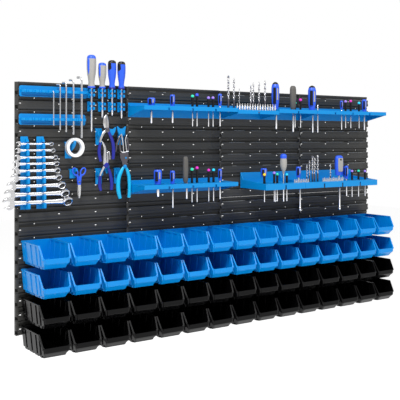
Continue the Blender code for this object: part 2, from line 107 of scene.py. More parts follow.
def loft(rings):
    """A closed skin over a stack of equal rings: quads between the rings and a flat face on each end."""
    rings = np.asarray(rings, dtype=float)
    rows, columns = rings.shape[:2]
    faces = grid_faces(rows, columns, True)
    faces.append(tuple(range(columns - 1, -1, -1)))
    faces.append(tuple((rows - 1) * columns + j for j in range(columns)))
    return rings.reshape(-1, 3), faces


def rectangle(a0, b0, a1, b1):
    """The four corners between two opposite ones."""
    return [(a0, b0), (a1, b0), (a1, b1), (a0, b1)]


def run(outline, x0, x1):
    """An outline of (d, z) points carried straight along x."""
    o = np.asarray(outline, dtype=float)
    return loft([np.column_stack((np.full(len(o), x), o[:, 0], o[:, 1])) for x in (x0, x1)])


def plate(outline, d0, d1):
    """An outline of (x, z) points carried straight out along d."""
    o = np.asarray(outline, dtype=float)
    return loft([np.column_stack((o[:, 0], np.full(len(o), d), o[:, 1])) for d in (d0, d1)])


def slab(outline, z0, z1):
    """An outline of (x, d) points carried straight up along z."""
    o = np.asarray(outline, dtype=float)
    return loft([np.column_stack((o[:, 0], o[:, 1], np.full(len(o), z))) for z in (z0, z1)])


def turned(profile, x, d, z, sides=20, axis="z"):
    """A profile of (radius, height) points turned about an upright or an outward line through x, d, z."""
    p = np.asarray(profile, dtype=float)
    a = np.linspace(0.0, 2.0 * math.pi, sides, endpoint=False)
    r = np.maximum(p[:, :1], 0.02)
    across, along = r * np.cos(a), r * np.sin(a)
    height = np.repeat(p[:, 1:], sides, axis=1)
    if axis == "z":
        rings = np.stack((x + across, d - along, z + height), axis=-1)
    else:
        rings = np.stack((x + across, d + height, z + along), axis=-1)
    return loft(rings)


def tube(path, radius, sides=10, squash=1.0):
    """A round section carried along a path: at each point a circle is drawn across the path's direction.
    squash flattens the circle along d."""
    p = np.asarray(path, dtype=float)
    step = np.gradient(p, axis=0)
    step /= np.linalg.norm(step, axis=1, keepdims=True)
    guide = np.array((0.0, 1.0, 0.0)) if abs(step[:, 1]).max() < 0.9 else np.array((1.0, 0.0, 0.0))
    side = np.cross(step, guide)
    side /= np.linalg.norm(side, axis=1, keepdims=True)
    up = np.cross(side, step)
    a = np.linspace(0.0, 2.0 * math.pi, sides, endpoint=False)
    r = np.broadcast_to(np.asarray(radius, dtype=float), (len(p),))[:, None, None]
    rings = p[:, None, :] + r * (np.cos(a)[None, :, None] * side[:, None, :]
                                 + squash * np.sin(a)[None, :, None] * up[:, None, :])
    return loft(rings)


def smooth_path(points, count):
    """A rounder path through a few points: a cubic blend that passes through each of them."""
    p = np.asarray(points, dtype=float)
    q = np.concatenate((2 * p[:1] - p[1:2], p, 2 * p[-1:] - p[-2:-1]))
    t = np.linspace(0.0, len(p) - 1.0001, count)
    i = t.astype(int)
    f = (t - i)[:, None]
    a, b, c, e = q[i], q[i + 1], q[i + 2], q[i + 3]
    square, cube = 2 * a - 5 * b + 4 * c - e, 3 * b - a - 3 * c + e
    return 0.5 * (2 * b + (c - a) * f + square * f ** 2 + cube * f ** 3)


def circle(x, z, radius, count, start=0.0, stop=360.0):
    """Points of a circle or an arc in the wall's face, counted from the right and turning up."""
    a = np.radians(np.linspace(start, stop, count, endpoint=stop - start < 359.0))
    return np.column_stack((x + radius * np.cos(a), z + radius * np.sin(a)))


print("shape tools ready")

# %% [markdown]
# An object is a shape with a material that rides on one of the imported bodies. The rounding of moulded edges
# could be drawn into every outline; a Bevel modifier does it once for all of them. Faces of closed shapes
# are turned to point outwards, and edges sharper than an angle stay crisp while the rest is shaded smooth.

# %% From shape to object
import bmesh


def make(name, shape, finish, body="wall", stands_for=(), slot=None, bevel=0.0, thickness=0.0, crisp=35.0):
    """Turn a shape into an object on a body, with an optional rounded edge or wall thickness in mm."""
    verts, faces = shape
    mesh = bpy.data.meshes.new(name)
    mesh.from_pydata(wall(verts).tolist(), [], faces)
    if thickness == 0.0:
        cage = bmesh.new()
        cage.from_mesh(mesh)
        bmesh.ops.recalc_face_normals(cage, faces=cage.faces)
        cage.to_mesh(mesh)
        cage.free()
    mesh.shade_smooth()
    mesh.set_sharp_from_angle(angle=math.radians(crisp))
    mesh.materials.append(finish)
    piece = bpy.data.objects.new(name, mesh)
    bpy.context.scene.collection.objects.link(piece)
    if thickness:
        wall_thickness = piece.modifiers.new("thickness", "SOLIDIFY")
        wall_thickness.thickness = thickness * 0.001
        wall_thickness.offset = -1.0
        wall_thickness.use_even_offset = False
    if bevel:
        rounding = piece.modifiers.new("rounding", "BEVEL")
        rounding.width = bevel * 0.001
        rounding.segments = 2
        rounding.limit_method = "ANGLE"
        rounding.angle_limit = math.radians(50.0)
        rounding.use_clamp_overlap = True
    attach(piece, body)
    if stands_for:
        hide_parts(*stands_for)


print("object maker ready")

# %% [markdown]
# Moulded plastic is never one flat colour: it has a fine grain that breaks up its shine, and slow changes
# of tone where the melt cooled unevenly. A picture could hold both, but noise needs no unwrapping and stays
# sharp close up. One node group makes the grain and the tone, and each plastic uses it at its own scale.

# %% Shared node group: moulded grain
def add_node(tree, kind, inputs=(), **settings):
    """Add a shader node: set its settings, then link each input to a socket or give it a value."""
    made = tree.nodes.new(kind if kind.startswith("NodeGroup") else f"ShaderNode{kind}")
    for label, value in settings.items():
        setattr(made, label, value)
    for label, value in dict(inputs).items():
        if isinstance(value, bpy.types.NodeSocket):
            tree.links.new(value, made.inputs[label])
        else:
            made.inputs[label].default_value = value
    return made


def moulded_grain():
    """Two noises on Object coordinates: a coarse one for tone and a fine one for grain height."""
    group = bpy.data.node_groups.new("moulded_grain", "ShaderNodeTree")
    for label, value in (("Scale", 900.0), ("Tone", 0.1), ("Roughness", 0.4)):
        group.interface.new_socket(label, in_out="INPUT", socket_type="NodeSocketFloat").default_value = value
    for label in ("Tone", "Height", "Roughness"):
        group.interface.new_socket(label, in_out="OUTPUT", socket_type="NodeSocketFloat")
    given = add_node(group, "NodeGroupInput").outputs
    place = add_node(group, "TexCoord").outputs["Object"]
    fine = add_node(group, "TexNoise", {"Vector": place, "Scale": given["Scale"], "Detail": 3.0})
    coarse = add_node(group, "TexNoise", {"Vector": place, "Scale": 9.0, "Detail": 4.0})
    swing = add_node(group, "Math", {0: coarse.outputs["Fac"], 1: 0.5}, operation="SUBTRACT").outputs[0]
    tone = add_node(group, "Math", {0: swing, 1: given["Tone"], 2: 1.0}, operation="MULTIPLY_ADD")
    shine = add_node(group, "Math", {0: swing, 1: 0.25, 2: given["Roughness"]}, operation="MULTIPLY_ADD")
    add_node(group, "NodeGroupOutput", {"Tone": tone.outputs[0], "Height": fine.outputs["Fac"],
                                        "Roughness": shine.outputs[0]})
    return group


GRAIN = moulded_grain()
print("node group", GRAIN.name)

# %% [markdown]
# The holders are glossy plastic, the panels a duller one, the grips softer still. The tools are plated
# steel, polished along their length. Each could be a material built by hand; two functions build them all,
# so that a finish is one line of colour, roughness, grain scale, tone and bump.

# %% Plastics and metals
GRAIN_HEIGHT = 0.0004


def new_material(name, colour):
    """A node material with its shader, and the plain colour that the solid view shows."""
    made = bpy.data.materials.new(name)
    made.use_nodes = True
    made.diffuse_color = (*colour, 1.0)
    return made, made.node_tree, made.node_tree.nodes["Principled BSDF"]


def plastic(name, colour, roughness=0.4, scale=900.0, tone=0.25, bump=0.12, specular=0.4):
    """A moulded plastic: its colour times the tone, with the grain as a bump."""
    made, tree, shader = new_material(name, colour)
    grain = add_node(tree, "Group", {"Scale": scale, "Tone": tone, "Roughness": roughness},
                     node_tree=GRAIN).outputs
    tinted = add_node(tree, "VectorMath", {0: colour, "Scale": grain["Tone"]}, operation="SCALE")
    relief = add_node(tree, "Bump", {"Strength": bump, "Distance": GRAIN_HEIGHT, "Height": grain["Height"]})
    tree.links.new(tinted.outputs[0], shader.inputs["Base Color"])
    tree.links.new(grain["Roughness"], shader.inputs["Roughness"])
    tree.links.new(relief.outputs["Normal"], shader.inputs["Normal"])
    shader.inputs["Specular IOR Level"].default_value = specular
    return made


def metal(name, colour, roughness):
    """A plated steel: fine polishing lines from a noise that is stretched along the tool."""
    made, tree, shader = new_material(name, colour)
    place = add_node(tree, "TexCoord").outputs["Object"]
    drawn = add_node(tree, "Mapping", {"Vector": place, "Scale": (60.0, 60.0, 900.0)})
    lines = add_node(tree, "TexNoise", {"Vector": drawn.outputs["Vector"], "Scale": 3.0})
    shine = add_node(tree, "MapRange", {"Value": lines.outputs["Fac"], "To Min": roughness - 0.08,
                                        "To Max": roughness + 0.12})
    tree.links.new(shine.outputs[0], shader.inputs["Roughness"])
    shader.inputs["Base Color"].default_value = (*colour, 1.0)
    shader.inputs["Metallic"].default_value = 1.0
    return made


charcoal = plastic("panel_charcoal", (0.046, 0.0455, 0.043), 0.5, 700.0, 0.5, 0.25, 0.25)
azure = plastic("holder_azure", (0.0, 0.235, 0.60), 0.33, 900.0, 0.12, 0.08, 0.35)
bin_blue = plastic("bin_azure", (0.0, 0.235, 0.66), 0.25, 900.0, 0.12, 0.08, 0.3)
bin_black = plastic("bin_black", (0.002, 0.002, 0.0022), 0.2, 900.0, 0.3, 0.08, 0.14)
grip_grey = plastic("grip_grey", (0.34, 0.33, 0.31), 0.5, 600.0, 0.15, 0.2)
grip_taupe = plastic("grip_taupe", (0.10, 0.095, 0.088), 0.5, 600.0, 0.15, 0.2)
grip_blue = plastic("grip_blue", (0.025, 0.105, 0.72), 0.35, 700.0, 0.15, 0.1)
grip_navy = plastic("grip_navy", (0.014, 0.020, 0.27), 0.35, 700.0, 0.15, 0.1)
grip_black = plastic("grip_black", (0.007, 0.007, 0.008), 0.35, 700.0, 0.2, 0.1, 0.3)
grip_teal = plastic("grip_teal", (0.004, 0.42, 0.72), 0.35, 700.0, 0.12, 0.1)
tape_white = plastic("tape_white", (0.84, 0.84, 0.84), 0.5, 1200.0, 0.04, 0.1)
chrome = metal("tool_chrome", (0.90, 0.90, 0.91), 0.22)
steel = metal("ground_steel", (0.72, 0.71, 0.70), 0.28)
dark_steel = metal("dark_steel", (0.16, 0.15, 0.17), 0.35)
print("finishes", len(bpy.data.materials))

# %% [markdown]
# The lips of the louvres carry a painted highlight: pale lines where the light catches their top edges. Paint
# strokes could show it, but the lips lie at regular heights, so the mark is a formula: near a lip's height,
# within one of the three lengths that a louvre is moulded in, and only where a slow noise, stronger to the
# right, lets it through.

# %% Painted lip highlights
# Where the painted lip highlight lies: height over a louvre's foot, half width in pitches, share of each
# third, noise cutoff and first column.
LIP_HIGHLIGHT_Z, LIP_HIGHLIGHT_HALF_PITCHES, LIP_HIGHLIGHT_LENGTH, LIP_HIGHLIGHT_CUTOFF = 27.6, 0.011, 0.78, 0.52
LIP_HIGHLIGHT_START = 12.5


def paint_lip_highlights(finish):
    """Mix a pale colour in, a painted highlight on the lips, where height, place along the louvre and noise
    all agree.
    """
    tree = finish.node_tree

    def work(operation, *values):
        return add_node(tree, "Math", enumerate(values), operation=operation).outputs[0]

    place = add_node(tree, "TexCoord").outputs["Object"]
    across = add_node(tree, "SeparateXYZ", {0: place}).outputs
    level = work("FRACT", work("MULTIPLY_ADD", across["Z"], 1000.0 / PITCH, ORIGIN_Z / PITCH))
    near = work("LESS_THAN", work("ABSOLUTE", work("SUBTRACT", level, LIP_HIGHLIGHT_Z / PITCH)), LIP_HIGHLIGHT_HALF_PITCHES)
    thirds = work("MULTIPLY_ADD", across["X"], 3000.0 / PANEL_W, 3.0 * (ORIGIN_X - LIP_HIGHLIGHT_START) / PANEL_W)
    length = work("LESS_THAN", work("FRACT", thirds), LIP_HIGHLIGHT_LENGTH)
    highlight_noise = add_node(tree, "TexNoise", {"Vector": place, "Scale": 3.5}).outputs["Fac"]
    rightward = work("MULTIPLY_ADD", across["X"], 0.35, 0.0)
    lit_spots = work("GREATER_THAN", work("ADD", highlight_noise, rightward), LIP_HIGHLIGHT_CUTOFF)
    mask = work("MULTIPLY", work("MULTIPLY", near, length), lit_spots)
    base = tree.nodes["Principled BSDF"].inputs["Base Color"]
    # The pale colour is a painted highlight where light catches the lips' top edges.
    blend = add_node(tree, "Mix", {"Factor": mask, 6: base.links[0].from_socket, 7: (0.30, 0.31, 0.31, 1.0)},
                     data_type="RGBA")
    tree.links.new(blend.outputs[2], base)


paint_lip_highlights(charcoal)
print("rubbed lips every", round(PITCH, 1), "mm")

# %% [markdown]
# A panel is one thin moulded skin. Seen from the side it rises in nine louvres: a groove, a slope that
# leans out to a lip, and behind the lip a trough that the hooks drop into. It could be cut from a block with
# Booleans; repeating its side outline keeps every wall the same thickness. The section is a list of (d, z)
# points, and the skin is that section repeated across columns in x. Cells are left out where the skin is
# pierced, and eight points on a circle round off each screw hole.

# %% Panel skins
SECTION = ((9.8, 1.0), (9.8, 1.9), (14.2, 2.3), (15.1, 3.6), (15.5, 6.6), (15.5, 7.0), (15.9, 11.8),
           (16.1, 12.1), (16.6, 16.67), (17.2, 21.67), (17.7, 26.67), (18.0, 27.5), (17.6, 28.0),
           (16.0, 28.0), (15.6, 27.6), (15.6, 23.0), (15.1, 22.5), (9.5, 22.5), (9.0, 23.0), (9.0, 27.0),
           (9.4, 29.5), (10.3, 32.0), (11.1, 34.5), (11.4, 34.9), (12.3, 38.6), (12.9, 40.6), (12.6, 41.5),
           (9.8, 41.9))
HOLE_ROW, SLOT_ROW = 8, 23
HOLE_Z, HOLE_RADIUS, HOLE_POINTS = 21.67, 3.4, 8
AROUND_HOLE = ((0, -1), (0, 0), (0, 1), (1, 1), (2, 1), (2, 0), (2, -1), (1, -1))
COLUMNS = (12.5, 12.5 + PANEL_W / 3, 12.5 + 2 * PANEL_W / 3)
SKIN_LEFT, CLOSED_SEAM, OPEN_SEAM = 8.0, 0.05, 0.7


def slot_x(column):
    """The slot stands a little before the middle between two columns of holes."""
    return column + 0.4 * PANEL_W / 3


def panel_grid(left, bottom):
    """Points of the skin, with the columns' distances from the panel's left edge."""
    seam = OPEN_SEAM if left >= 2 * PANEL_W else CLOSED_SEAM
    rows = np.concatenate([np.asarray(SECTION) + (0.0, n * PITCH) for n in range(LOUVRES)])
    rows = rows[(rows[:, 1] > 0.2) & (rows[:, 1] < PANEL_H - 0.2)]
    rows[0, 1] = 0.0 if bottom else 0.3
    rows = np.concatenate((rows, [(9.8, PANEL_H - seam)]))
    edges = {SKIN_LEFT, PANEL_W - seam}
    for c in COLUMNS:
        s = slot_x(c)
        edges |= {c - 4.4, c, c + 5.0, c + 11.0, s - 5.0, s - 2.2, s + 1.5, s + 4.3, s + 6.5}
    xs = np.array([x for x in sorted(edges) if x >= SKIN_LEFT])
    grid = np.empty((len(rows), len(xs), 3))
    grid[..., 0] = left + xs[None, :]
    grid[..., 1] = rows[:, :1]
    grid[..., 2] = bottom + rows[:, 1:]
    return grid, xs


def panel_skin(left, bottom):
    """The grid with a slot and a round hole in each third of each louvre: a hole's circle is sewn to the
    eight grid points that stand round it."""
    grid, xs = panel_grid(left, bottom)
    keep = np.ones((grid.shape[0] - 1, len(xs) - 1), dtype=bool)
    column_at = {round(float(x), 3): j for j, x in enumerate(xs)}
    circles, rings = [], []
    for n in range(LOUVRES):
        r = n * len(SECTION) + HOLE_ROW
        for c in COLUMNS:
            j = column_at[round(c, 3)]
            keep[r:r + 2, j - 1:j + 1] = False
            corners = [(r + up) * len(xs) + j + along for up, along in AROUND_HOLE]
            hole = circle(left + c, bottom + n * PITCH + HOLE_Z, HOLE_RADIUS, HOLE_POINTS, -135.0, 225.0)
            depth = np.interp(hole[:, 1] - bottom - n * PITCH, (16.67, 26.67), (16.6, 17.7))
            first = grid.shape[0] * len(xs) + HOLE_POINTS * len(circles)
            circles.append(np.column_stack((hole[:, 0], depth, hole[:, 1])))
            for k in range(HOLE_POINTS):
                after = (k + 1) % HOLE_POINTS
                rings.append((corners[k], corners[after], first + after, first + k))
            if n < LOUVRES - 1:
                keep[n * len(SECTION) + SLOT_ROW, column_at[round(slot_x(c) - 5.0, 3)]] = False
    faces = grid_faces(grid.shape[0], len(xs), keep=keep) + rings
    return np.concatenate([grid.reshape(-1, 3)] + circles), faces


print("section points", len(SECTION), "holes in a panel", LOUVRES * len(COLUMNS))

# %% [markdown]
# Behind the skin a panel has flat bars to lie on the building's wall. Its knuckles stand out at the right
# and slide into C-shaped sockets at the left of the next panel. All of them are straight blocks with
# rounded edges, so plain outlines carried outwards are enough.

# %% Panel frames
KNUCKLE_Z = 8.7


def panel_frame(left, bottom):
    """The straight bars behind a skin, its knuckles on the right and the C-shaped sockets on the left."""
    bar_left, bar_right = PANEL_W - 8.2, PANEL_W - 0.45
    low, high = bottom + 0.3, bottom + PANEL_H - 0.3
    parts = [plate(rectangle(left + bar_left, low, left + bar_right, high), 0.0, 7.4),
             plate(rectangle(left + 0.3, low, left + 8.0, high), 0.0, 1.0)]
    for n in range(LOUVRES):
        z = bottom + n * PITCH + KNUCKLE_Z
        knuckle = rectangle(left + PANEL_W - 7.5, z - 4.6, left + PANEL_W + 7.0, z + 4.6)
        top = z + (PITCH - 8.9 if n < LOUVRES - 1 else 33.6)
        foot = z - 8.2 if n else bottom + 0.4
        parts += [plate(knuckle, 1.7, 11.5),
                  plate(rectangle(left + 0.5, z + 5.5, left + 8.6, top), 0.9, 14.4),
                  plate(rectangle(left + 0.5, foot, left + 8.6, z - 5.5), 0.9, 14.4),
                  plate(rectangle(left + 7.6, z - 5.6, left + 8.7, z + 5.6), 0.9, 14.2)]
    for x in (105.0, 200.0, 295.0):
        rib = rectangle(left + x, bottom + 1.0, left + x + 2.0, bottom + PANEL_H - 1.0)
        parts.append(plate(rib, 1.5, 8.2))
    return join(*parts)


for level, base in (("lower", 0.0), ("upper", PANEL_H)):
    for column in range(4):
        node = f"panel_{level}_{column + 1}"
        make(f"{node}_skin", panel_skin(column * PANEL_W, base), charcoal, stands_for=(node,),
             slot="panel_charcoal", thickness=1.0, crisp=50.0)
        make(f"{node}_frame", panel_frame(column * PANEL_W, base), charcoal, slot="panel_charcoal", bevel=0.4)
print("panels", 8)

# %% [markdown]
# A bin is an open box that narrows towards its foot. Each side wall carries four raised ribs, the rim
# turns out in a flange that runs down the slanted front, and the front wall leans in below a lip band.
# A box could be tapered and cut; one grid that runs round the bin and up its wall holds the ribs, flange
# and band as numbers added to its width and depth, and a second, smaller grid is its inside.

# %% Bin walls
BIN_HALF, BIN_TALL, BIN_REACH, RIM_REACH, FRONT_RISE = 50.0, 70.0, 175.0, 151.0, 31.5
BIN_BACK, BIN_SKIN, FLOOR_SKIN = 18.8, 2.2, 2.4
RIB_EDGES = ((22.0, 47.0), (57.0, 88.0), (98.0, 126.0), (136.0, 151.0))
LEVELS = np.array((0.0, 0.11, 0.13, 0.3, 0.6, 0.64, 1.0))
ACROSS = np.array((-1.0, -0.9, -0.87, -0.84, -0.4, 0.0, 0.4, 0.84, 0.87, 0.9, 1.0))


def bin_side(skin):
    """Distances out from the wall along a bin's side, and how far a rib is raised at each of them."""
    d, rib = [BIN_BACK + skin], [0.0]
    for low, high in RIB_EDGES:
        d += [low + skin, low + 0.5 + skin, high - 0.5, high]
        rib += [0.0, 1.0, 1.0, 0.0]
    return np.array(d + [163.0, BIN_REACH - skin]), np.array(rib + [0.0, 0.0])


def bin_wall(rim, inner):
    """Points of the bin's wall, row by row upwards and then round it from the back left corner.
    The half width shrinks with depth, ribs and flange add to it, and the front leans in below its band."""
    skin = BIN_SKIN if inner else 0.0
    d, rib = bin_side(skin)
    n, t = len(d), ACROSS[1:-1]
    base = rim - BIN_TALL
    foot = base + (FLOOR_SKIN if inner else 0.0)
    top = np.interp(d, (0.0, RIM_REACH, BIN_REACH), (rim, rim, base + FRONT_RISE))
    tops = np.concatenate((top, np.full(len(t), base + FRONT_RISE), top[::-1], [rim, rim, rim]))
    z = np.concatenate((foot + LEVELS[:, None] * (tops - 4.4 - foot), [tops - 3.8, tops]))
    flange = np.concatenate((np.zeros(len(LEVELS)), (1.0, 1.0)))[:, None]
    half = BIN_HALF * (1.0 - 0.15 * (rim - z) / BIN_TALL)
    side = half - 3.2 - (1.9 if inner else 0.0) - np.where(z < base + 8.4, 4.6, 0.0)
    slant = np.interp(z - base, (0.0, 17.0, 70.0), (158.0, 173.3, 173.6)) - skin
    x, depth = np.empty_like(z), np.empty_like(z)
    sides = np.r_[0:n, n + len(t):2 * n + len(t)]
    ribs = np.concatenate((rib, rib[::-1]))[None, :] * (1.0 - flange) * (1.8 if inner else 2.6)
    raised = np.maximum(ribs, flange * (0.0 if inner else 3.0))
    x[:, sides] = (side[:, sides] + raised) * np.concatenate((-np.ones(n), np.ones(n)))
    near = np.concatenate((d, d[::-1]))
    lean = (slant[:, sides] - 1.0 - RIM_REACH) / (BIN_REACH - skin - RIM_REACH)
    depth[:, sides] = np.where(near > RIM_REACH, RIM_REACH + (near - RIM_REACH) * lean, near)
    fronts = slice(n, n + len(t))
    band = (z[:, fronts] > base + 16.0) & (np.abs(t) < 0.88)
    x[:, fronts] = side[:, fronts] * t
    depth[:, fronts] = slant[:, fronts] + np.where(band & (not inner), 2.4, 0.0)
    backs = slice(2 * n + len(t), None)
    x[:, backs] = side[:, backs] * np.array((0.85, 0.0, -0.85))
    depth[:, backs] = BIN_BACK + skin
    return np.stack((x, depth, z), axis=-1)


print("wall grid", bin_wall(0.0, False).shape[:2])

# %% [markdown]
# Fifteen bins hang on a louvre. The top row's bins each move, so each is its own object on its own body;
# the other rows stay put and are one object each. They all come from one shape, shifted along and down.

# %% Bins in rows
BINS_IN_ROW, BIN_PITCH, TOP_ROW = 15, 101.17, 6


def open_bin(rim):
    """Outside and inside walls closed by a rim strip, an underside, a floor and a hook at the back."""
    outside, inside = bin_wall(rim, False), bin_wall(rim, True)
    rows, columns = outside.shape[:2]
    count, last = rows * columns, (rows - 1) * columns
    faces = grid_faces(rows, columns, True)
    faces += [tuple(reversed([i + count for i in face])) for face in faces]
    faces += [(last + j, last + (j + 1) % columns, count + last + (j + 1) % columns, count + last + j)
              for j in range(columns)]
    faces.append(tuple(range(columns - 1, -1, -1)))
    faces.append(tuple(count + j for j in range(columns)))
    points = np.concatenate((outside.reshape(-1, 3), inside.reshape(-1, 3)))
    hook = [(20.0, rim - 0.3), (11.2, rim - 0.3), (11.2, rim - 6.8), (13.0, rim - 6.8), (13.0, rim - 2.5),
            (20.0, rim - 2.5)]
    return join((points, faces), run(hook, -45.0, 45.0))


def bin_centre(index):
    """Place of a bin in its row: the middle one of the fifteen hangs on the wall's middle seam."""
    return 2 * PANEL_W + (index - BINS_IN_ROW // 2) * BIN_PITCH


pattern = open_bin(lip_z(TOP_ROW) + 3.0)
for index in range(BINS_IN_ROW):
    node = f"bin_blue_{index + 1:02d}"
    make(f"{node}_shell", moved(pattern, dx=bin_centre(index)), bin_blue, node, (node,), "plastic_azure",
         crisp=28.0)
for node, louvre, finish, slot in (("bin_row_blue", 4, bin_blue, "plastic_azure"),
                                   ("bin_row_black_upper", 2, bin_black, "plastic_black"),
                                   ("bin_row_black_lower", 0, bin_black, "plastic_black")):
    drop = lip_z(louvre) - lip_z(TOP_ROW)
    row = [moved(pattern, dx=bin_centre(index), dz=drop) for index in range(BINS_IN_ROW)]
    make(f"{node}_shells", join(*row), finish, stands_for=(node,), slot=slot, crisp=28.0)
print("bins", 4 * BINS_IN_ROW, "faces each", len(pattern[1]))

# %% [markdown]
# Every holder hangs the same way: a plate lies on the louvre and its top folds back over the lip. Each
# could have its own drawing, but one outline serves them all, and only the plate's height changes. What
# stands out from the plate is added to it: a deck with a lip, a ledge with scallops, clip fingers or a peg.

# %% The shared hook
TOP_OVER_LIP, FOLD_DEPTH, LIP_GAP = 3.0, 3.8, 0.5
FOLD_BACK, FOLD_FRONT, PLATE_BACK, PLATE_ROOT = 11.1, 13.0, 18.7, 20.5


def plate_top(louvre):
    """Height of a hung plate's top edge, just over its louvre's lip."""
    return lip_z(louvre) + TOP_OVER_LIP


def fold(louvre, front):
    """Side outline of the fold: over the lip and down behind it, from as far out as front."""
    lip, top = lip_z(louvre), plate_top(louvre)
    return [(FOLD_BACK, top), (FOLD_BACK, lip - FOLD_DEPTH), (FOLD_FRONT, lip - FOLD_DEPTH),
            (FOLD_FRONT, lip + LIP_GAP), (front, lip + LIP_GAP), (front, top)]


def hook(louvre, height):
    """Side outline of a plate that folds back over a louvre's lip."""
    top = plate_top(louvre)
    return fold(louvre, PLATE_BACK)[:-1] + [(PLATE_BACK, top - height), (BLADE_FRONT, top - height),
                                            (BLADE_FRONT, top)]


def hook_teeth(louvre, height, x0, x1):
    """A plate whose fold is cut into short teeth, as moulded holders have."""
    top = plate_top(louvre)
    flat = [(PLATE_BACK, lip_z(louvre) + 0.6), (PLATE_BACK, top - height), (BLADE_FRONT, top - height),
            (BLADE_FRONT, top), (PLATE_BACK, top)]
    count = max(1, int((x1 - x0) // 40))
    step = (x1 - x0) / count
    teeth = [run(fold(louvre, 19.0), x0 + (k + 0.12) * step, x0 + (k + 0.88) * step) for k in range(count)]
    return join(run(flat, x0, x1), *teeth)


print("a plate's top stands", TOP_OVER_LIP, "mm over the lip")

# %% [markdown]
# A shelf is a moulded deck on two gussets, pierced by a row of square tool holes and closed by a front lip
# that is broken at intervals. Booleans would cut the holes; strips of deck with gaps between them give the
# same openings with clean edges.


# %% Shelves
# Each row: node, left edge, width, louvre, reach, plate height, rise of the back wall, drop of the deck.
SHELVES = (("shelf_top_left", 389.0, 382.0, 16, 126.0, 48.0, 0.0, 12.0),
           ("shelf_top_bits", 772.0, 189.0, 16, 126.0, 48.0, 0.0, 18.0),
           ("shelf_top_middle", 962.0, 189.0, 16, 126.0, 48.0, 0.0, 12.0),
           ("shelf_top_right", 1152.0, 382.0, 16, 126.0, 48.0, 0.0, 12.0),
           ("shelf_lower_left", 390.0, 382.0, 10, 126.0, 46.0, 0.0, 12.0),
           ("shelf_lower_middle", 864.0, 189.0, 10, 167.0, 42.0, 15.0, 22.0),
           ("shelf_lower_right", 1054.0, 382.0, 10, 167.0, 42.0, 15.0, 22.0))


HOLE_PITCH, HOLE_HALF, DECK_SKIN = 42.0, 5.0, 2.6


def shelf(left, width, louvre, reach, height, rise, drop):
    """Back plate, deck strips with square tool holes between them, a lip in lengths, and end gussets."""
    top = plate_top(louvre)
    deck = top - drop
    foot = deck - 14.0 - rise / 2.0
    right = left + width
    parts = [hook_teeth(louvre, height, left, right)]

    def strip(d0, d1, z0, z1, x0, x1):
        parts.append(run(rectangle(d0, z0, d1, z1), x0, x1))

    strip(PLATE_ROOT, reach - 39.0, deck - DECK_SKIN, deck, left, right)
    strip(reach - 29.0, reach - 0.8, deck - DECK_SKIN, deck, left, right)
    count = int((width - 30.0) // HOLE_PITCH) + 1
    first = left + width / 2.0 - (count - 1) * HOLE_PITCH / 2.0
    stops = [left] + [first + k * HOLE_PITCH for k in range(count)] + [right]
    for k in range(count + 1):
        strip(reach - 39.2, reach - 28.8, deck - DECK_SKIN, deck, stops[k] + (HOLE_HALF if k else 0.0),
              stops[k + 1] - (HOLE_HALF if k < count else 0.0))
    lengths = max(2, round(width / 95.0))
    step = width / lengths
    for k in range(lengths):
        strip(reach - 2.6, reach, foot, deck - 0.2, left + k * step + (3.5 if k else 0.0),
              left + (k + 1) * step - (3.5 if k < lengths - 1 else 0.0))
    strip(reach - 2.4, reach - 0.4, deck - 5.5, deck - 0.1, left, right)
    if rise:
        strip(PLATE_BACK, BLADE_FRONT, top - 0.2, top + rise, left, right)
        for x in (left + 0.3, left + width / 2.0, right - 8.3):
            strip(18.9, BLADE_FRONT + 1.4, top - 4.0, top + rise - 1.0, x, x + 8.0)
    shoulder = top + rise - 1.0 if rise else deck + 5.0
    gusset = [(BLADE_FRONT - 0.4, top - height + 0.5), (BLADE_FRONT - 0.4, shoulder),
              (34.0, deck + 1.0 + 0.7 * rise), (reach - 0.4, deck - 0.3), (reach - 0.4, foot + 1.0),
              (reach - 6.0, foot)]
    parts.append(run(gusset, left + 0.3, left + 2.5))
    parts.append(run(gusset, right - 2.5, right - 0.3))
    for x in np.linspace(left + 45.0, right - 45.0, max(2, round(width / 120.0))):
        strip(BLADE_FRONT - 0.3, reach - 3.0, deck - 8.0, deck - 2.4, x, x + 2.0)
    return join(*parts)


for node, *sizes in SHELVES:
    make(f"{node}_body", shelf(*sizes), azure, stands_for=(node,), slot="plastic_azure", bevel=0.5)
print("shelves", len(SHELVES))

# %% [markdown]
# Two bars hold the hex keys. Each is a plate with round corners and a ledge whose front edge dips in ten
# half-round notches, one for each key of a full set. The ledge is one outline with the notches drawn in as
# arcs. A key is a six-sided tube along a path with a bend, which is how the real ones are formed.

# %% Hex key bars
KEY_BARS = (("hex_key_bar_upper", 8.0, 229.0, 17, 34.0), ("hex_key_bar_lower", 7.0, 224.0, 15, 34.0))
CORNER, NOTCHES, NOTCH_WIDE, NOTCH_DEEP, LEDGE_REACH = 6.0, 10, 5.2, 6.4, 43.6


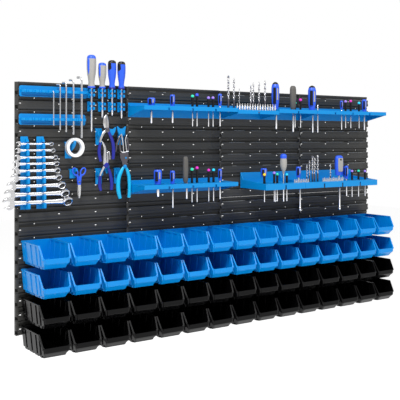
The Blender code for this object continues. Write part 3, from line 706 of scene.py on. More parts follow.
def key_bar(left, width, louvre, height):
    """A plate with round ends and a ledge whose front edge dips in a row of half-round notches."""
    top = plate_top(louvre)
    right = left + width
    high, low = top - CORNER, top - height + CORNER
    outline = np.concatenate((circle(right - CORNER, high, CORNER, 6, 0, 90),
                              circle(left + CORNER, high, CORNER, 6, 90, 180),
                              circle(left + CORNER, low, CORNER, 6, 180, 270),
                              circle(right - CORNER, low, CORNER, 6, 270, 360 - 0.01)))
    parts = [plate(outline, PLATE_BACK, BLADE_FRONT)]
    parts += [run(fold(louvre, 19.5), x, x + 24.0) for x in np.linspace(left + 8.0, right - 32.0, 5)]
    centres = left + width / 2.0 + (np.arange(NOTCHES) - 4.5) * width / 10.6
    turn = np.radians(np.linspace(0.0, -180.0, 7))
    ledge = [(right - 5.0, 20.0), (right - 3.0, 33.0), (right - 8.0, 41.0)]
    for x in centres[::-1]:
        ledge += list(zip(x + NOTCH_WIDE * np.cos(turn), LEDGE_REACH + NOTCH_DEEP * np.sin(turn)))
    ledge += [(left + 8.0, 41.0), (left + 3.0, 33.0), (left + 5.0, 20.0)]
    parts.append(slab(ledge, top - 21.0, top - 12.5))
    foot = rectangle(20.0, top - height + 0.6, 25.0, top - height + 3.0)
    parts.append(run(foot, left + 6.0, right - 6.0))
    return join(*parts)


for node, left, width, louvre, height in KEY_BARS:
    make(f"{node}_body", key_bar(left, width, louvre, height), azure, stands_for=(node,),
         slot="plastic_azure", bevel=0.5)
# Each key: place, top, foot and radius.
KEYS = ((112.8, 752.0, 645.0, 2.0), (134.6, 774.0, 631.0, 2.4), (155.0, 781.0, 625.0, 2.9),
        (180.1, 790.0, 617.0, 3.3), (208.6, 800.0, 606.0, 3.8))
KEY_D = 39.5


def hex_key(x, top, foot, radius):
    """A six-sided rod that runs up through both bars and bends back into a short arm."""
    bend = radius * 2.6
    a = np.radians(np.linspace(0.0, 90.0, 6))
    arc = np.column_stack((x - 0.45 * bend * (1 - np.cos(a)), KEY_D - 0.9 * bend * (1 - np.cos(a)),
                           top - bend + bend * np.sin(a)))
    arm = [(x - 0.45 * (bend + 9.0), KEY_D - 0.9 * (bend + 7.0), top)]
    return tube(np.concatenate(([(x, KEY_D, foot), (x, KEY_D, foot + 30.0)], arc, arm)), radius, 6)


make("hex_keys", join(*[hex_key(*key) for key in KEYS]), chrome, slot="tool_chrome", bevel=0.2, crisp=30.0)
print("hex keys", len(KEYS))

# %% [markdown]
# Each screwdriver is gripped twice, by spring fingers that curl round its shaft and end in round knobs.
# The handle could be sculpted; it is a turned grip whose radius is pressed in by flutes, which keeps it
# even. Its crown, collar and soft inlay are their own pieces so that they can have their own colours.

# %% Clips and screwdrivers
# Each driver: place, handle radius, handle length and shaft length.
DRIVERS = ((248.5, 15.5, 107.0, 142.0), (287.5, 13.7, 84.0, 98.0), (323.5, 14.2, 94.0, 89.0),
           (358.5, 13.8, 92.0, 98.0))
DRIVER_D = 29.0
FOOT_Z = lip_z(17) + 3.3
HANDLE = ((0.76, 0.0), (0.78, 0.02), (0.68, 0.10), (0.62, 0.17), (0.70, 0.27), (0.88, 0.42), (0.985, 0.58),
          (1.0, 0.72), (0.985, 0.82), (0.955, 0.88))
FLUTED = (0.0, 0.0, 0.0, 0.0, 0.3, 0.8, 1.0, 1.0, 0.4, 0.0)
FLUTES, FLUTE_DEPTH = 6.0, 0.1
CROWN = ((0.955, 0.88), (0.90, 0.93), (0.78, 0.965), (0.5, 0.992), (0.1, 1.0))
LONG_INLAY = ((0.66, 0.36), (0.72, 0.5), (0.76, 0.66), (0.74, 0.82), (0.6, 0.93))
SHORT_INLAY = ((0.52, 0.55), (0.56, 0.66), (0.58, 0.78), (0.54, 0.88), (0.4, 0.95))
INLAY_TURN = math.radians(-158.0)


def clip(x, louvre):
    """A hooked plate with two pairs of curled fingers, each an arc of a thick ring with a knob at its end."""
    top = plate_top(louvre)
    parts = [run(hook(louvre, 32.0), x - 10.0, x + 10.0)]
    a = np.radians(np.linspace(-70.0, 38.0, 9))
    knob = [(2.6, 0.0), (3.3, 0.8), (3.3, 8.2), (2.6, 9.0)]
    for z in (top - 12.0, top - 27.0):
        for side in (-1.0, 1.0):
            outer, inner = [np.column_stack((x + side * r * np.cos(a), DRIVER_D + r * np.sin(a)))
                            for r in (7.6, 5.0)]
            parts.append(slab(np.concatenate((outer, inner[::-1])), z, z + 8.0))
            parts.append(turned(knob, x + side * 6.4, 35.2, z - 0.5, 12))
    return join(*parts)


def grip(x, radius, length):
    """A turned grip: the radius at each height is drawn in by a wave round the handle where it is fluted."""
    p = np.asarray([(radius * r, length * h) for r, h in HANDLE])
    a = np.linspace(0.0, 2.0 * math.pi, 36, endpoint=False)
    r = p[:, :1] * (1.0 - FLUTE_DEPTH * np.asarray(FLUTED)[:, None] * (0.5 + 0.5 * np.cos(FLUTES * a)))
    height = np.repeat(p[:, 1:], 36, axis=1)
    return loft(np.stack((x + r * np.cos(a), DRIVER_D - r * np.sin(a), FOOT_Z + height), axis=-1))


def inlay(x, radius, length, line, widths):
    """A soft strip let into the grip: a round section that swells along a line on the grip's side."""
    path = [(x + radius * q * math.cos(INLAY_TURN), DRIVER_D - radius * q * math.sin(INLAY_TURN),
             FOOT_Z + length * h) for q, h in line]
    swell = np.interp(np.linspace(0.0, 1.0, 14), (0.0, 0.3, 0.8, 1.0), widths) * radius
    return tube(smooth_path(path, 14), swell, 12)


for number, (x, radius, length, shaft) in enumerate(DRIVERS, start=1):
    for level, louvre in (("upper", 17), ("lower", 16)):
        node = f"driver_clip_{level}_{number}"
        make(f"{node}_body", clip(x, louvre), azure, stands_for=(node,), slot="plastic_azure", bevel=0.3)
    grey = number < 3
    node = f"screwdriver_{number}"
    rod_line = [(3.3, 1.0), (3.3, 6.0 - shaft), (3.0, 5.0 - shaft), (0.9, -shaft + 0.6), (0.4, -shaft)]
    crown = [(radius * r, length * h) for r, h in CROWN]
    collar = [(radius * 0.77, -0.2), (radius * 0.81, 1.0), (radius * 0.80, 4.0), (radius * 0.76, 5.0)]
    strip = (LONG_INLAY, (0.12, 0.32, 0.36, 0.2)) if grey else (SHORT_INLAY, (0.2, 0.52, 0.56, 0.34))
    make(f"{node}_grip", grip(x, radius, length), grip_grey if grey else grip_blue, node, (node,),
         "handle_grey" if grey else "handle_blue", crisp=50.0)
    make(f"{node}_crown", turned(crown, x, DRIVER_D, FOOT_Z, 24), grip_blue if grey else grip_black, node)
    make(f"{node}_shaft", turned(rod_line, x, DRIVER_D, FOOT_Z, 14), chrome, node, slot="tool_chrome")
    make(f"{node}_collar", turned(collar, x, DRIVER_D, FOOT_Z, 24), grip_blue if grey else grip_navy, node)
    make(f"{node}_inlay", inlay(x, radius, length, *strip), grip_blue if grey else grip_black, node,
         crisp=60.0)
print("screwdrivers", len(DRIVERS))

# %% [markdown]
# The two racks are combs: a wrench lies across both, held in the gaps between their teeth. A tooth stands
# between each two wrenches, and the wrenches get larger downwards, so the teeth are worked out from the
# wrenches' heights instead of being drawn one by one.

# %% Wrench racks
RACKS = (("wrench_rack_left", 12.0), ("wrench_rack_right", 64.0))
WRENCH_STEPS = (20.0, 22.0, 19.5, 21.4, 21.9, 24.8, 25.3, 25.7)
WRENCH_Z = 588.0 - np.concatenate(([0.0], np.cumsum(WRENCH_STEPS)))
RACK_LOUVRE, RACK_FOOT, RACK_TOP = 13, 386.5, 611.0


def rack(left):
    """A tall plate with a fold behind it and, between wrenches, teeth that turn up at their tips."""
    right = left + 24.0
    outline = [(left, RACK_FOOT), (right, RACK_FOOT), (right, RACK_TOP - 1.0), (right - 2.0, RACK_TOP),
               (left + 2.0, RACK_TOP), (left, RACK_TOP - 1.0)]
    parts = [plate(outline, PLATE_BACK, BLADE_FRONT), run(fold(RACK_LOUVRE, 19.5), left + 3.0, left + 21.0)]
    for k, level in enumerate(WRENCH_Z):
        reach, under, over = [float(np.interp(k, (0, 8), ends))
                              for ends in ((33.0, 42.5), (3.4, 6.6), (4.0, 7.4))]
        high = level - under
        low = WRENCH_Z[k + 1] + over if k < 8 else RACK_FOOT + 1.0
        tooth = [(PLATE_ROOT, low), (reach - 2.0, low + 0.5), (reach, low + 2.5), (reach, high + 3.0),
                 (reach - 1.5, high + 5.5), (reach - 4.0, high + 4.0), (reach - 5.0, high),
                 (PLATE_ROOT, high)]
        parts.append(run(tooth, left + 16.0, left + 23.8))
    ear = [(PLATE_ROOT, WRENCH_Z[0] + 5.0), (30.0, WRENCH_Z[0] + 5.0), (31.0, WRENCH_Z[0] + 8.0),
           (PLATE_ROOT, 606.0)]
    parts.append(run(ear, left + 16.0, left + 23.8))
    return join(*parts)


for node, left in RACKS:
    make(f"{node}_body", rack(left), azure, stands_for=(node,), slot="plastic_azure", bevel=0.5)
print("rack teeth", len(WRENCH_Z))

# %% [markdown]
# A combination wrench has an oval shank, a ring at one end and an open jaw at the other. Forged metal has
# no straight lines to start from, so each part is a formula in one number, the ring's radius, and the nine
# wrenches differ only in that number and in where their two ends lie.


# %% Wrenches
# Each wrench: the jaw's outer end, the ring's centre and the ring's radius.
WRENCHES = ((-4.8, 109.4, 7.2), (-8.0, 114.7, 7.8), (-11.2, 122.1, 8.6), (-15.9, 125.5, 9.4),
            (-17.9, 128.4, 10.2), (-22.6, 132.5, 11.2), (-34.9, 142.9, 13.2), (-43.0, 153.4, 15.2),
            (-48.5, 162.0, 16.8))
JAW_LEAN = math.radians(12.0)


def wrench_ring(x, radius, d, z):
    """A thick band turned about a line that leans back from straight out, so that it is seen as an oval."""
    thick = 0.42 * radius
    inside, bevelled = 0.66 * radius, 0.8 * radius
    points = np.asarray([(inside, -thick * 0.85), (inside, thick * 0.85), (bevelled, thick),
                         (radius, thick * 0.55), (radius, -thick * 0.55), (bevelled, -thick),
                         (inside, -thick * 0.85)])
    a = np.linspace(0.0, 2.0 * math.pi, 28, endpoint=False)
    up, out = points[:, :1] * np.sin(a), np.repeat(points[:, 1:], 28, axis=1)
    grid = np.stack((x + points[:, :1] * np.cos(a), d + 0.3 * radius + 0.82 * out + 0.57 * up,
                     z + 0.82 * up - 0.57 * out), axis=-1)
    return grid.reshape(-1, 3), grid_faces(len(points), 28, True)


def wrench_jaw(x, head, radius, d, z):
    """A disc's outline, cut by a mouth with a slanted floor and turned a little."""
    mouth, floor, lip = 0.50 * head, 0.08 * head, -0.15 * head
    outline = np.concatenate((circle(0.0, 0.0, head, 22, -146.0, 146.0),
                              [(-0.92 * head, mouth), (lip, mouth), (floor, mouth * 0.6),
                               (floor, -mouth * 0.6), (lip, -mouth), (-0.92 * head, -mouth)]))
    turn = np.array(((math.cos(JAW_LEAN), -math.sin(JAW_LEAN)), (math.sin(JAW_LEAN), math.cos(JAW_LEAN))))
    return plate(outline @ turn.T + (x, z), d - 0.36 * radius, d + 0.36 * radius)


def wrench(open_end, ring_x, radius, d, z):
    """Ring, jaw and between them a shank that is thickest at its two ends."""
    head = 1.12 * radius
    jaw_x = open_end + head
    line = np.linspace(jaw_x + 0.7 * head, ring_x - 0.82 * radius, 12)
    swell = 0.40 * radius + 0.16 * radius * np.linspace(-1.0, 1.0, 12) ** 4
    shank = tube(np.column_stack((line, np.full(12, d), np.full(12, z))), swell, 12, 0.5)
    return join(wrench_ring(ring_x, radius, d, z), wrench_jaw(jaw_x, head, radius, d, z), shank)


for number, (open_end, ring_x, radius) in enumerate(WRENCHES, start=1):
    last = number == len(WRENCHES)
    d = 30.0 if last else float(np.interp(number, (1, 8), (27.5, 30.0)))
    shape = wrench(open_end, ring_x, radius, d, float(WRENCH_Z[number - 1]))
    name, body = ("wrench_large_body", "wrench_large") if last else (f"wrench_{number}", "wall")
    make(name, shape, chrome, body, ("wrench_large",) if last else (), "tool_chrome", bevel=0.09 * radius,
         crisp=40.0)
print("wrenches", len(WRENCHES))

# %% [markdown]
# The roll of tape is a wound band on a leaf-shaped arm. A plain ring would look cast; its face shows fine
# steps where the turns end, so the ring's section has a small step for every millimetre of winding.

# %% Tape and its hook
TAPE_X, TAPE_D, TAPE_Z = 182.0, 37.0, 576.3
CORE_RADIUS, ROLL_RADIUS, ROLL_WIDE, WINDINGS = 21.0, 30.2, 16.0, 9


def tape_hook():
    """A hooked plate with a leaf-shaped arm that passes through the roll and turns up at its end."""
    arm = [(PLATE_ROOT, 561.0), (PLATE_ROOT, 579.0), (30.0, 582.0), (42.0, 586.5), (52.0, 590.0),
           (57.0, 594.0), (61.5, 598.0), (63.0, 596.0), (62.0, 588.0), (56.0, 580.0), (45.0, 572.0),
           (32.0, 565.0)]
    return join(run(hook(13, 53.0), 160.0, 182.0), run(arm, TAPE_X - 10.5, TAPE_X - 3.0))


def tape_roll():
    """The stepped section turned about the line that the roll spins on."""
    section = [(CORE_RADIUS, 0.6), (CORE_RADIUS, ROLL_WIDE - 0.6)]
    for k in range(WINDINGS):
        r = 22.0 + k * 0.98
        section += [(r, ROLL_WIDE - 0.1), (r + 0.5, ROLL_WIDE - 0.1), (r + 0.6, ROLL_WIDE - 0.4)]
    section += [(ROLL_RADIUS, ROLL_WIDE - 0.7), (ROLL_RADIUS, 0.7), (29.6, 0.1), (22.0, 0.1),
                (CORE_RADIUS, 0.6)]
    band = np.asarray(section)
    a = np.linspace(0.0, 2.0 * math.pi, 48, endpoint=False)
    rings = np.stack((TAPE_X + band[:, :1] * np.cos(a), TAPE_D + np.repeat(band[:, 1:], 48, axis=1),
                      TAPE_Z + band[:, :1] * np.sin(a)), axis=-1)
    return rings.reshape(-1, 3), grid_faces(len(section), 48, True)


make("tape_hook_body", tape_hook(), azure, stands_for=("tape_hook",), slot="plastic_azure", bevel=0.8)
make("tape_roll_winding", tape_roll(), tape_white, "tape_roll", ("tape_roll",), "tape_white", crisp=50.0)
print("tape roll radius", ROLL_RADIUS, "mm")

# %% [markdown]
# The scissors are two halves that cross at a screw. Each half is a thin blade, an arm and a loop, and one
# is the other's mirror image moved forward. The loop is a tube along an oval, squashed towards the wall.

# %% Scissors
SCISSOR_X, SCISSOR_Z = 202.5, 466.0


def scissor_handle(side, d):
    """A loop and the arm that joins it to the pivot: a thick section on an oval, and a tapering outline."""
    a = np.linspace(0.0, 2.0 * math.pi, 29)
    loop = np.column_stack((SCISSOR_X + side * (12.6 - 8.2 * np.cos(a) + 3.4 * np.sin(a)), np.full(29, d),
                            SCISSOR_Z + 33.0 + 11.4 * np.sin(a)))
    ring = tube(loop, 2.6, 10, 0.62)
    arm = [(3.0, 24.0), (-1.8, 13.0), (-4.8, 2.0), (-5.4, -9.0), (4.8, -9.0), (6.0, 2.0), (7.0, 14.0),
           (12.0, 25.5)]
    return join(ring, plate([(SCISSOR_X + side * x, SCISSOR_Z + z) for x, z in arm], d - 1.3, d + 1.3))


def scissor_blade(side, d):
    """A long tapering blade below the pivot, with its edge on the inner side."""
    outline = [(-5.4, -7.0), (5.0, -7.0), (5.6, -20.0), (4.2, -40.0), (1.6, -51.0), (-0.8, -52.0),
               (-2.4, -40.0), (-4.6, -20.0)]
    return plate([(SCISSOR_X + side * x, SCISSOR_Z + z) for x, z in outline], d - 0.9, d + 0.9)


for side, letter, d, body in ((-1.0, "a", 32.4, "wall"), (1.0, "b", 35.6, "scissors_half_b")):
    node = f"scissors_half_{letter}"
    make(f"{node}_handle", scissor_handle(side, d), grip_blue, body, (node,), "handle_blue", bevel=0.5,
         crisp=50.0)
    make(f"{node}_blade", scissor_blade(side, d), chrome, body, slot="tool_chrome", bevel=0.3)
SCREW = ((3.2, 0.0), (3.2, 0.7), (2.6, 1.3), (0.4, 1.4))
make("scissors_screw", turned(SCREW, SCISSOR_X, 37.0, SCISSOR_Z, 18, "d"), dark_steel)


def scissors_hook():
    """A hooked plate with a slim peg that ends in an upturned tip."""
    peg = [(PLATE_ROOT, 494.5), (PLATE_ROOT, 503.5), (39.5, 506.1), (41.0, 509.6), (43.3, 509.6),
           (43.3, 501.5)]
    return join(run(hook(11, 30.0), 176.0, 196.0), run(peg, SCISSOR_X - 15.8, SCISSOR_X - 10.2))


make("scissors_hook_body", scissors_hook(), azure, stands_for=("scissors_hook",), slot="plastic_azure",
     bevel=0.5)
print("scissors", 2, "halves")

# %% [markdown]
# The pliers hang on double pegs, and three of the hooks show a heart-shaped fork in front. The fork is a
# flat outline on a short arm, since only its face is seen.

# %% Pliers hooks
# Each hook: node, left edge, louvre and plate height.
HOOKS = (("pliers_hook_upper_left", 268.0, 14, 54.0), ("pliers_hook_upper_right", 350.0, 14, 54.0),
         ("pliers_hook_lower_left", 268.0, 11, 52.0), ("pliers_hook_lower_right", 336.0, 11, 52.0))


def pliers_hook(left, louvre, height):
    """A hooked plate with two upturned pegs, one at each side."""
    top = plate_top(louvre)
    peg = [(PLATE_ROOT, top - 29.0), (PLATE_ROOT, top - 12.5), (28.0, top - 12.5), (31.0, top - 9.0),
           (33.3, top - 8.5), (33.3, top - 21.0), (29.0, top - 24.0)]
    return join(run(hook(louvre, height), left, left + 22.0), run(peg, left + 1.2, left + 4.3),
                run(peg, left + 17.7, left + 20.8))


for node, *sizes in HOOKS:
    make(f"{node}_body", pliers_hook(*sizes), azure, stands_for=(node,), slot="plastic_azure", bevel=0.5)


def fork(x, z, wide, tall):
    """The front of a pliers hook: a heart-shaped plate with two upturned tips on a short arm."""
    half = wide / 2.0
    right = [(0.3, 0.28), (0.8, 0.5), (1.0, 0.5), (0.8, 0.0), (0.35, -0.42), (0.0, -0.5)]
    left = [(-a, b) for a, b in right[-2::-1]]
    heart = [(x + a * half, z + b * tall) for a, b in left[2:] + right + left[:2]]
    return join(plate(heart, 32.0, 34.6), plate(rectangle(x - 3.0, z - 5.0, x + 3.0, z + 5.0), 18.9, 32.4))


FORKS = ((320.0, 628.0, 32.0, 28.0), (356.0, 628.0, 34.0, 34.0), (302.0, 503.0, 18.0, 26.0))
make("pliers_hook_forks", join(*[fork(*sizes) for sizes in FORKS]), azure, slot="plastic_azure", bevel=0.5)
print("hooks", len(HOOKS), "forks", len(FORKS))

# %% [markdown]
# Pliers are forged and bent bars round a joint, with dipped grips. Sculpting each would be slow to change;
# a bar here is a tube along a few points with a radius at each of them, flattened towards the wall, and a
# joint is a turned disc. The four pairs are the same few lines with other points.

# %% Pliers
BAR_POINTS = 26


def lever(path, radii, squash):
    """A bent bar with a changing thickness, through a few points of (x, d, z)."""
    share = np.linspace(0.0, 1.0, BAR_POINTS)
    return tube(smooth_path(path, BAR_POINTS), np.interp(share, np.linspace(0.0, 1.0, len(radii)), radii), 12,
                squash)


def levers(name, finish, depth, squash, *paths):
    """Several bent bars in one object, each given as (x, z, radius) points at one depth."""
    bars = [lever([(x, depth, z) for x, z, _ in path], [r for _, _, r in path], squash) for path in paths]
    make(name, join(*bars), finish, crisp=60.0)


def joint(x, d, z, radius, thick, face):
    """A turned disc with a chamfered face."""
    profile = [(radius, 0.0), (radius, thick), (face, thick + 1.2), (0.3, thick + 1.4)]
    return turned(profile, x, d, z, 20, "d")


levers("pliers_upper_left_jaws", steel, 40.0, 0.7,
       [(294.0, 640.0, 6.0), (290.5, 655.0, 7.0), (291.5, 670.0, 5.5), (296.0, 681.0, 2.6)],
       [(300.0, 636.0, 5.5), (301.5, 652.0, 5.0), (300.5, 668.0, 3.6), (297.0, 681.0, 2.2)],
       [(297.0, 632.0, 5.0), (286.0, 622.0, 4.6), (277.0, 604.0, 3.8), (273.0, 589.0, 3.6)])
make("pliers_upper_left_joint", joint(299.0, 40.0, 633.0, 8.6, 5.0, 6.0), dark_steel, bevel=0.4)
levers("pliers_upper_left_grips", grip_navy, 42.0, 0.75,
       [(273.5, 592.0, 4.4), (269.5, 568.0, 5.6), (271.0, 548.0, 5.6), (275.5, 531.0, 4.6)],
       [(303.5, 628.0, 4.8), (314.0, 606.0, 5.2), (320.0, 588.0, 5.8), (322.0, 561.0, 6.2),
        (320.0, 537.0, 5.2)])
levers("pliers_lower_left_jaws", chrome, 42.0, 0.6,
       [(289.0, 520.0, 5.0), (290.0, 545.0, 6.0), (290.5, 572.0, 5.0), (285.5, 587.0, 3.4),
        (279.0, 597.0, 1.4)],
       [(298.0, 522.0, 4.6), (300.5, 540.0, 3.4), (301.0, 559.0, 1.8), (307.0, 560.0, 1.6),
        (309.0, 536.0, 1.6)],
       [(288.0, 514.0, 4.2), (282.0, 503.0, 3.8), (276.0, 492.0, 3.4), (273.0, 482.0, 3.2)])
make("pliers_lower_left_joint", joint(295.0, 40.0, 518.0, 9.0, 4.6, 6.2), grip_navy, bevel=0.4)
levers("pliers_lower_left_grips", grip_navy, 42.0, 0.75,
       [(273.0, 484.0, 4.6), (271.5, 462.0, 6.0), (272.5, 448.0, 6.0), (275.5, 436.0, 4.8)],
       [(303.0, 508.0, 4.6), (309.0, 492.0, 5.4), (315.0, 462.0, 6.2), (314.0, 437.0, 5.2)])
levers("pliers_upper_right_levers", dark_steel, 36.0, 0.7,
       [(353.0, 616.0, 2.6), (346.0, 606.0, 3.6), (337.0, 584.0, 3.4), (333.5, 562.0, 2.6)],
       [(352.0, 600.0, 2.4), (349.0, 582.0, 3.6), (352.0, 562.0, 4.0)],
       [(372.0, 612.0, 2.4), (378.0, 596.0, 3.4), (380.0, 572.0, 3.6), (376.0, 556.0, 3.2)])
levers("pliers_upper_right_springs", chrome, 40.0, 0.6,
       [(353.0, 620.0, 1.6), (355.0, 608.0, 2.2), (359.0, 585.0, 1.8), (361.0, 560.0, 1.4)],
       [(374.0, 618.0, 1.6), (368.0, 603.0, 2.2), (369.5, 585.0, 1.8), (373.0, 560.0, 1.4)],
       [(350.0, 563.0, 1.4), (358.0, 559.0, 2.0), (372.0, 561.0, 2.0), (380.0, 563.0, 1.4)])
HEAD = ((345.4, 556.0), (378.7, 558.5), (378.0, 541.4), (373.0, 525.2), (369.5, 508.0), (358.2, 508.0),
        (355.0, 526.0), (347.2, 541.0))
make("pliers_lower_right_head", plate(HEAD, 36.0, 42.5), dark_steel, bevel=1.0)
pivot = turned([(6.6, 0.0), (6.6, 3.4), (4.6, 4.4), (0.3, 4.6)], 364.0, 42.0, 512.0, 18, "d")
dot = plate(circle(368.0, 541.0, 3.0, 10), 42.0, 43.2)
make("pliers_lower_right_joint", join(pivot, dot), azure, bevel=0.3)
levers("pliers_lower_right_grips", grip_teal, 41.0, 0.8,
       [(359.5, 510.0, 4.2), (352.0, 498.0, 6.2), (342.5, 477.0, 6.8), (339.5, 453.0, 7.2),
        (341.5, 428.0, 7.2), (347.0, 408.0, 5.8)],
       [(368.0, 510.0, 4.2), (374.5, 498.0, 5.6), (380.0, 480.0, 6.0), (382.0, 458.0, 6.2),
        (382.5, 433.0, 6.2), (380.0, 409.0, 5.4)])
print("pliers", 4)

# %% [markdown]
# The shelves carry small tools upright in their holes: twist drills, precision drivers with coloured caps,
# drivers with thick handles and rows of short bits along the front edge. A drill's flute could be cut by
# a swept Boolean; two ribbons wound round a thin core give the same twist with far fewer faces. Each kind
# is one function, and a table says where each of them stands and how tall it is.

# %% Drills and bits
DECK_UNDER_LIP = 9.0
TOP_DECK, LOWER_DECK = lip_z(16) - DECK_UNDER_LIP, lip_z(10) - DECK_UNDER_LIP
BIT_DECK, OUT_DECK = TOP_DECK - 6.0, LOWER_DECK - 10.0
DECK_D, OUT_D = 92.0, 133.0


def drill_core(x, d, foot, top, radius):
    """A plain shank that thins into the drill's core and ends in a point."""
    h = top - foot
    return turned([(radius * 0.8, 0.0), (radius * 0.95, 0.6), (radius * 0.95, 0.34 * h),
                   (radius * 0.66, 0.38 * h), (radius * 0.6, h - 1.5 * radius), (0.1, h)], x, d, foot, 10)


def drill_ribbons(x, d, foot, top, radius):
    """Two ribbons wound round the core, half a turn apart: a round section carried along a helix."""
    z = np.linspace(foot + 0.36 * (top - foot), top - 0.9 * radius, 34)
    a = 2.0 * math.pi * (z - foot) / (9.0 * radius)
    coil = 0.6 * radius
    return join(*[tube(np.column_stack((x + coil * np.cos(a + turn), d + coil * np.sin(a + turn), z)),
                       0.42 * radius, 6) for turn in (0.0, math.pi)])


def bit(x, d, foot, height):
    """A short six-sided bit with a narrowed tip, a few dozen faces only."""
    return turned([(2.6, 0.0), (3.1, 0.6), (3.1, height * 0.55), (1.9, height * 0.62), (1.9, height * 0.85),
                   (0.8, height)], x, d, foot, 6)


# Each drill: place, tip and radius.
TOP_DRILLS = ((753.5, 829.5, 4.4), (778.4, 821.0, 3.8), (855.1, 801.8, 3.2), (866.7, 809.5, 3.4),
              (893.2, 812.5, 3.6), (921.5, 819.2, 3.8), (802.6, 783.6, 1.8))
LOWER_DRILLS = ((1090.3, 509.5, 2.6), (1103.5, 524.3, 2.8), (1118.7, 541.0, 3.6), (1130.0, 535.2, 3.2),
                (1145.4, 544.4, 3.6), (1212.4, 509.2, 2.6))
drills = [(x, DECK_D, BIT_DECK - 8.0, top, r) for x, top, r in TOP_DRILLS]
drills += [(x, OUT_D, OUT_DECK - 8.0, top, r) for x, top, r in LOWER_DRILLS]
make("twist_drill_cores", join(*[drill_core(*drill) for drill in drills]), dark_steel, slot="tool_chrome",
     crisp=50.0)
make("twist_drill_ribbons", join(*[drill_ribbons(*drill) for drill in drills]), chrome, slot="tool_chrome",
     crisp=60.0)
bits = [bit(778.0 + 11.7 * k, 112.0, BIT_DECK - 3.0, 27.0) for k in range(16)]
bits += [bit(1014.5 + 8.4 * k, 150.0, OUT_DECK - 3.0, 16.0) for k in range(9)]
bits += [bit(1157.0 + 8.0 * k, 150.0, OUT_DECK - 3.0, 16.0 + 3.0 * (k % 3 == 1)) for k in range(14)]
make("short_bits", join(*bits), chrome, slot="tool_chrome", crisp=30.0)
print("drills", len(drills), "bits", len(bits))

# %% [markdown]
# The larger drivers have two-tone handles: a blue body, a black back and crown, and a pale inset. A second
# material on chosen faces would follow the body's facets, so the other colours are their own thin pieces
# that stand a little proud of it, as a second shot of plastic does.

# %% Handled tools on the shelves
def rod(x, d, foot, top, radius):
    """A straight shaft with small chamfers at both ends."""
    chamfer = radius * 0.6
    return turned([(chamfer, 0.0), (radius, chamfer), (radius, top - foot - chamfer), (chamfer, top - foot)],
                  x, d, foot, 10)


def barrel(x, d, foot, top, radius):
    """A small rounded handle with a waist near its foot."""
    h = top - foot
    shape = ((0.8, 0.0), (0.8, 0.12), (0.92, 0.25), (1.0, 0.5), (1.0, 0.8), (0.85, 0.92), (0.5, 0.985),
             (0.1, 1.0))
    return turned([(radius * r, h * up) for r, up in shape], x, d, foot, 18)


def flat_bar(x, d, foot, top, half_wide, half_thick, taper=0.6):
    """A flat bar with rounded edges that narrows at both ends: its section is a squared-off circle."""
    a = np.linspace(0.0, 2.0 * math.pi, 12, endpoint=False)
    wide = np.sign(np.cos(a)) * np.abs(np.cos(a)) ** 0.6
    deep = np.sign(np.sin(a)) * np.abs(np.sin(a)) ** 0.6
    return loft([np.column_stack((x + half_wide * w * wide, d + half_thick * w * deep,
                                  np.full(12, foot + t * (top - foot))))
                 for t, w in ((0.0, taper), (0.12, 0.9), (0.5, 1.0), (0.85, 0.95), (0.96, 0.8), (1.0, 0.45))])


def crown(x, d, foot, top, radius):
    """The black parts of a two-tone handle: a strip down its side and a cap on its top."""
    tall = top - foot
    side = [(x - 0.62 * radius, d + 0.5 * radius, foot + tall * h) for h in (0.2, 0.4, 0.6, 0.8)]
    cap = [(0.80 * radius, tall * 0.86), (0.84 * radius, tall * 0.92), (0.6 * radius, tall * 0.985),
           (0.2 * radius, tall * 1.02)]
    return join(tube(smooth_path(side, 8), 0.42 * radius, 8), turned(cap, x, d, foot, 16))


def inset(x, d, foot, top, radius):
    """The pale strip in the front of a two-tone handle."""
    tall = top - foot
    front = [(x - 0.05 * radius, d + 0.80 * radius, foot + tall * h) for h in (0.34, 0.5, 0.66, 0.78)]
    return tube(smooth_path(front, 8), 0.27 * radius, 8)


# Each handle: place, distance from the wall, foot, top and radius.
TWO_TONE = ((971.0, DECK_D, TOP_DECK + 1, 812.0, 14.5), (1155.0, DECK_D, TOP_DECK + 1, 806.0, 15.5),
            (436.0, DECK_D, TOP_DECK + 1, 741.0, 13.0), (519.0, DECK_D, TOP_DECK + 1, 755.0, 8.5),
            (461.0, DECK_D, LOWER_DECK + 1, 505.0, 13.5), (519.0, DECK_D, LOWER_DECK + 1, 500.0, 8.5),
            (1442.0, DECK_D, TOP_DECK + 1, 767.0, 9.5), (717.0, DECK_D, TOP_DECK + 8, 764.5, 7.0),
            (717.0, DECK_D, LOWER_DECK + 6, 501.3, 7.0), (1299.0, OUT_D, OUT_DECK + 6, 503.0, 7.0),
            (892.7, 120.0, OUT_DECK + 24, 500.0, 11.5), (1060.3, 120.0, OUT_DECK + 18, 503.0, 9.5),
            (1313.0, DECK_D, TOP_DECK + 8, 757.0, 6.0), (1312.0, 112.0, OUT_DECK + 12, 498.0, 9.0))
make("shelf_blue_grips", join(*[barrel(*tool) for tool in TWO_TONE]), grip_blue, slot="handle_blue",
     crisp=60.0)
make("shelf_black_crowns", join(*[crown(*tool) for tool in TWO_TONE]), grip_black, crisp=60.0)
make("shelf_pale_insets", join(*[inset(*tool) for tool in TWO_TONE]), grip_grey, slot="handle_grey",
     crisp=60.0)
print("two-tone handles", len(TWO_TONE))

# %% [markdown]
# Four more handles have shapes of their own: two flat taupe ones, a large grey one with a blue cap, and a
# boxy one with a pale face and a hanging hole, drawn as a black disc of painted shade. Each is still a turned
# or a flat outline.

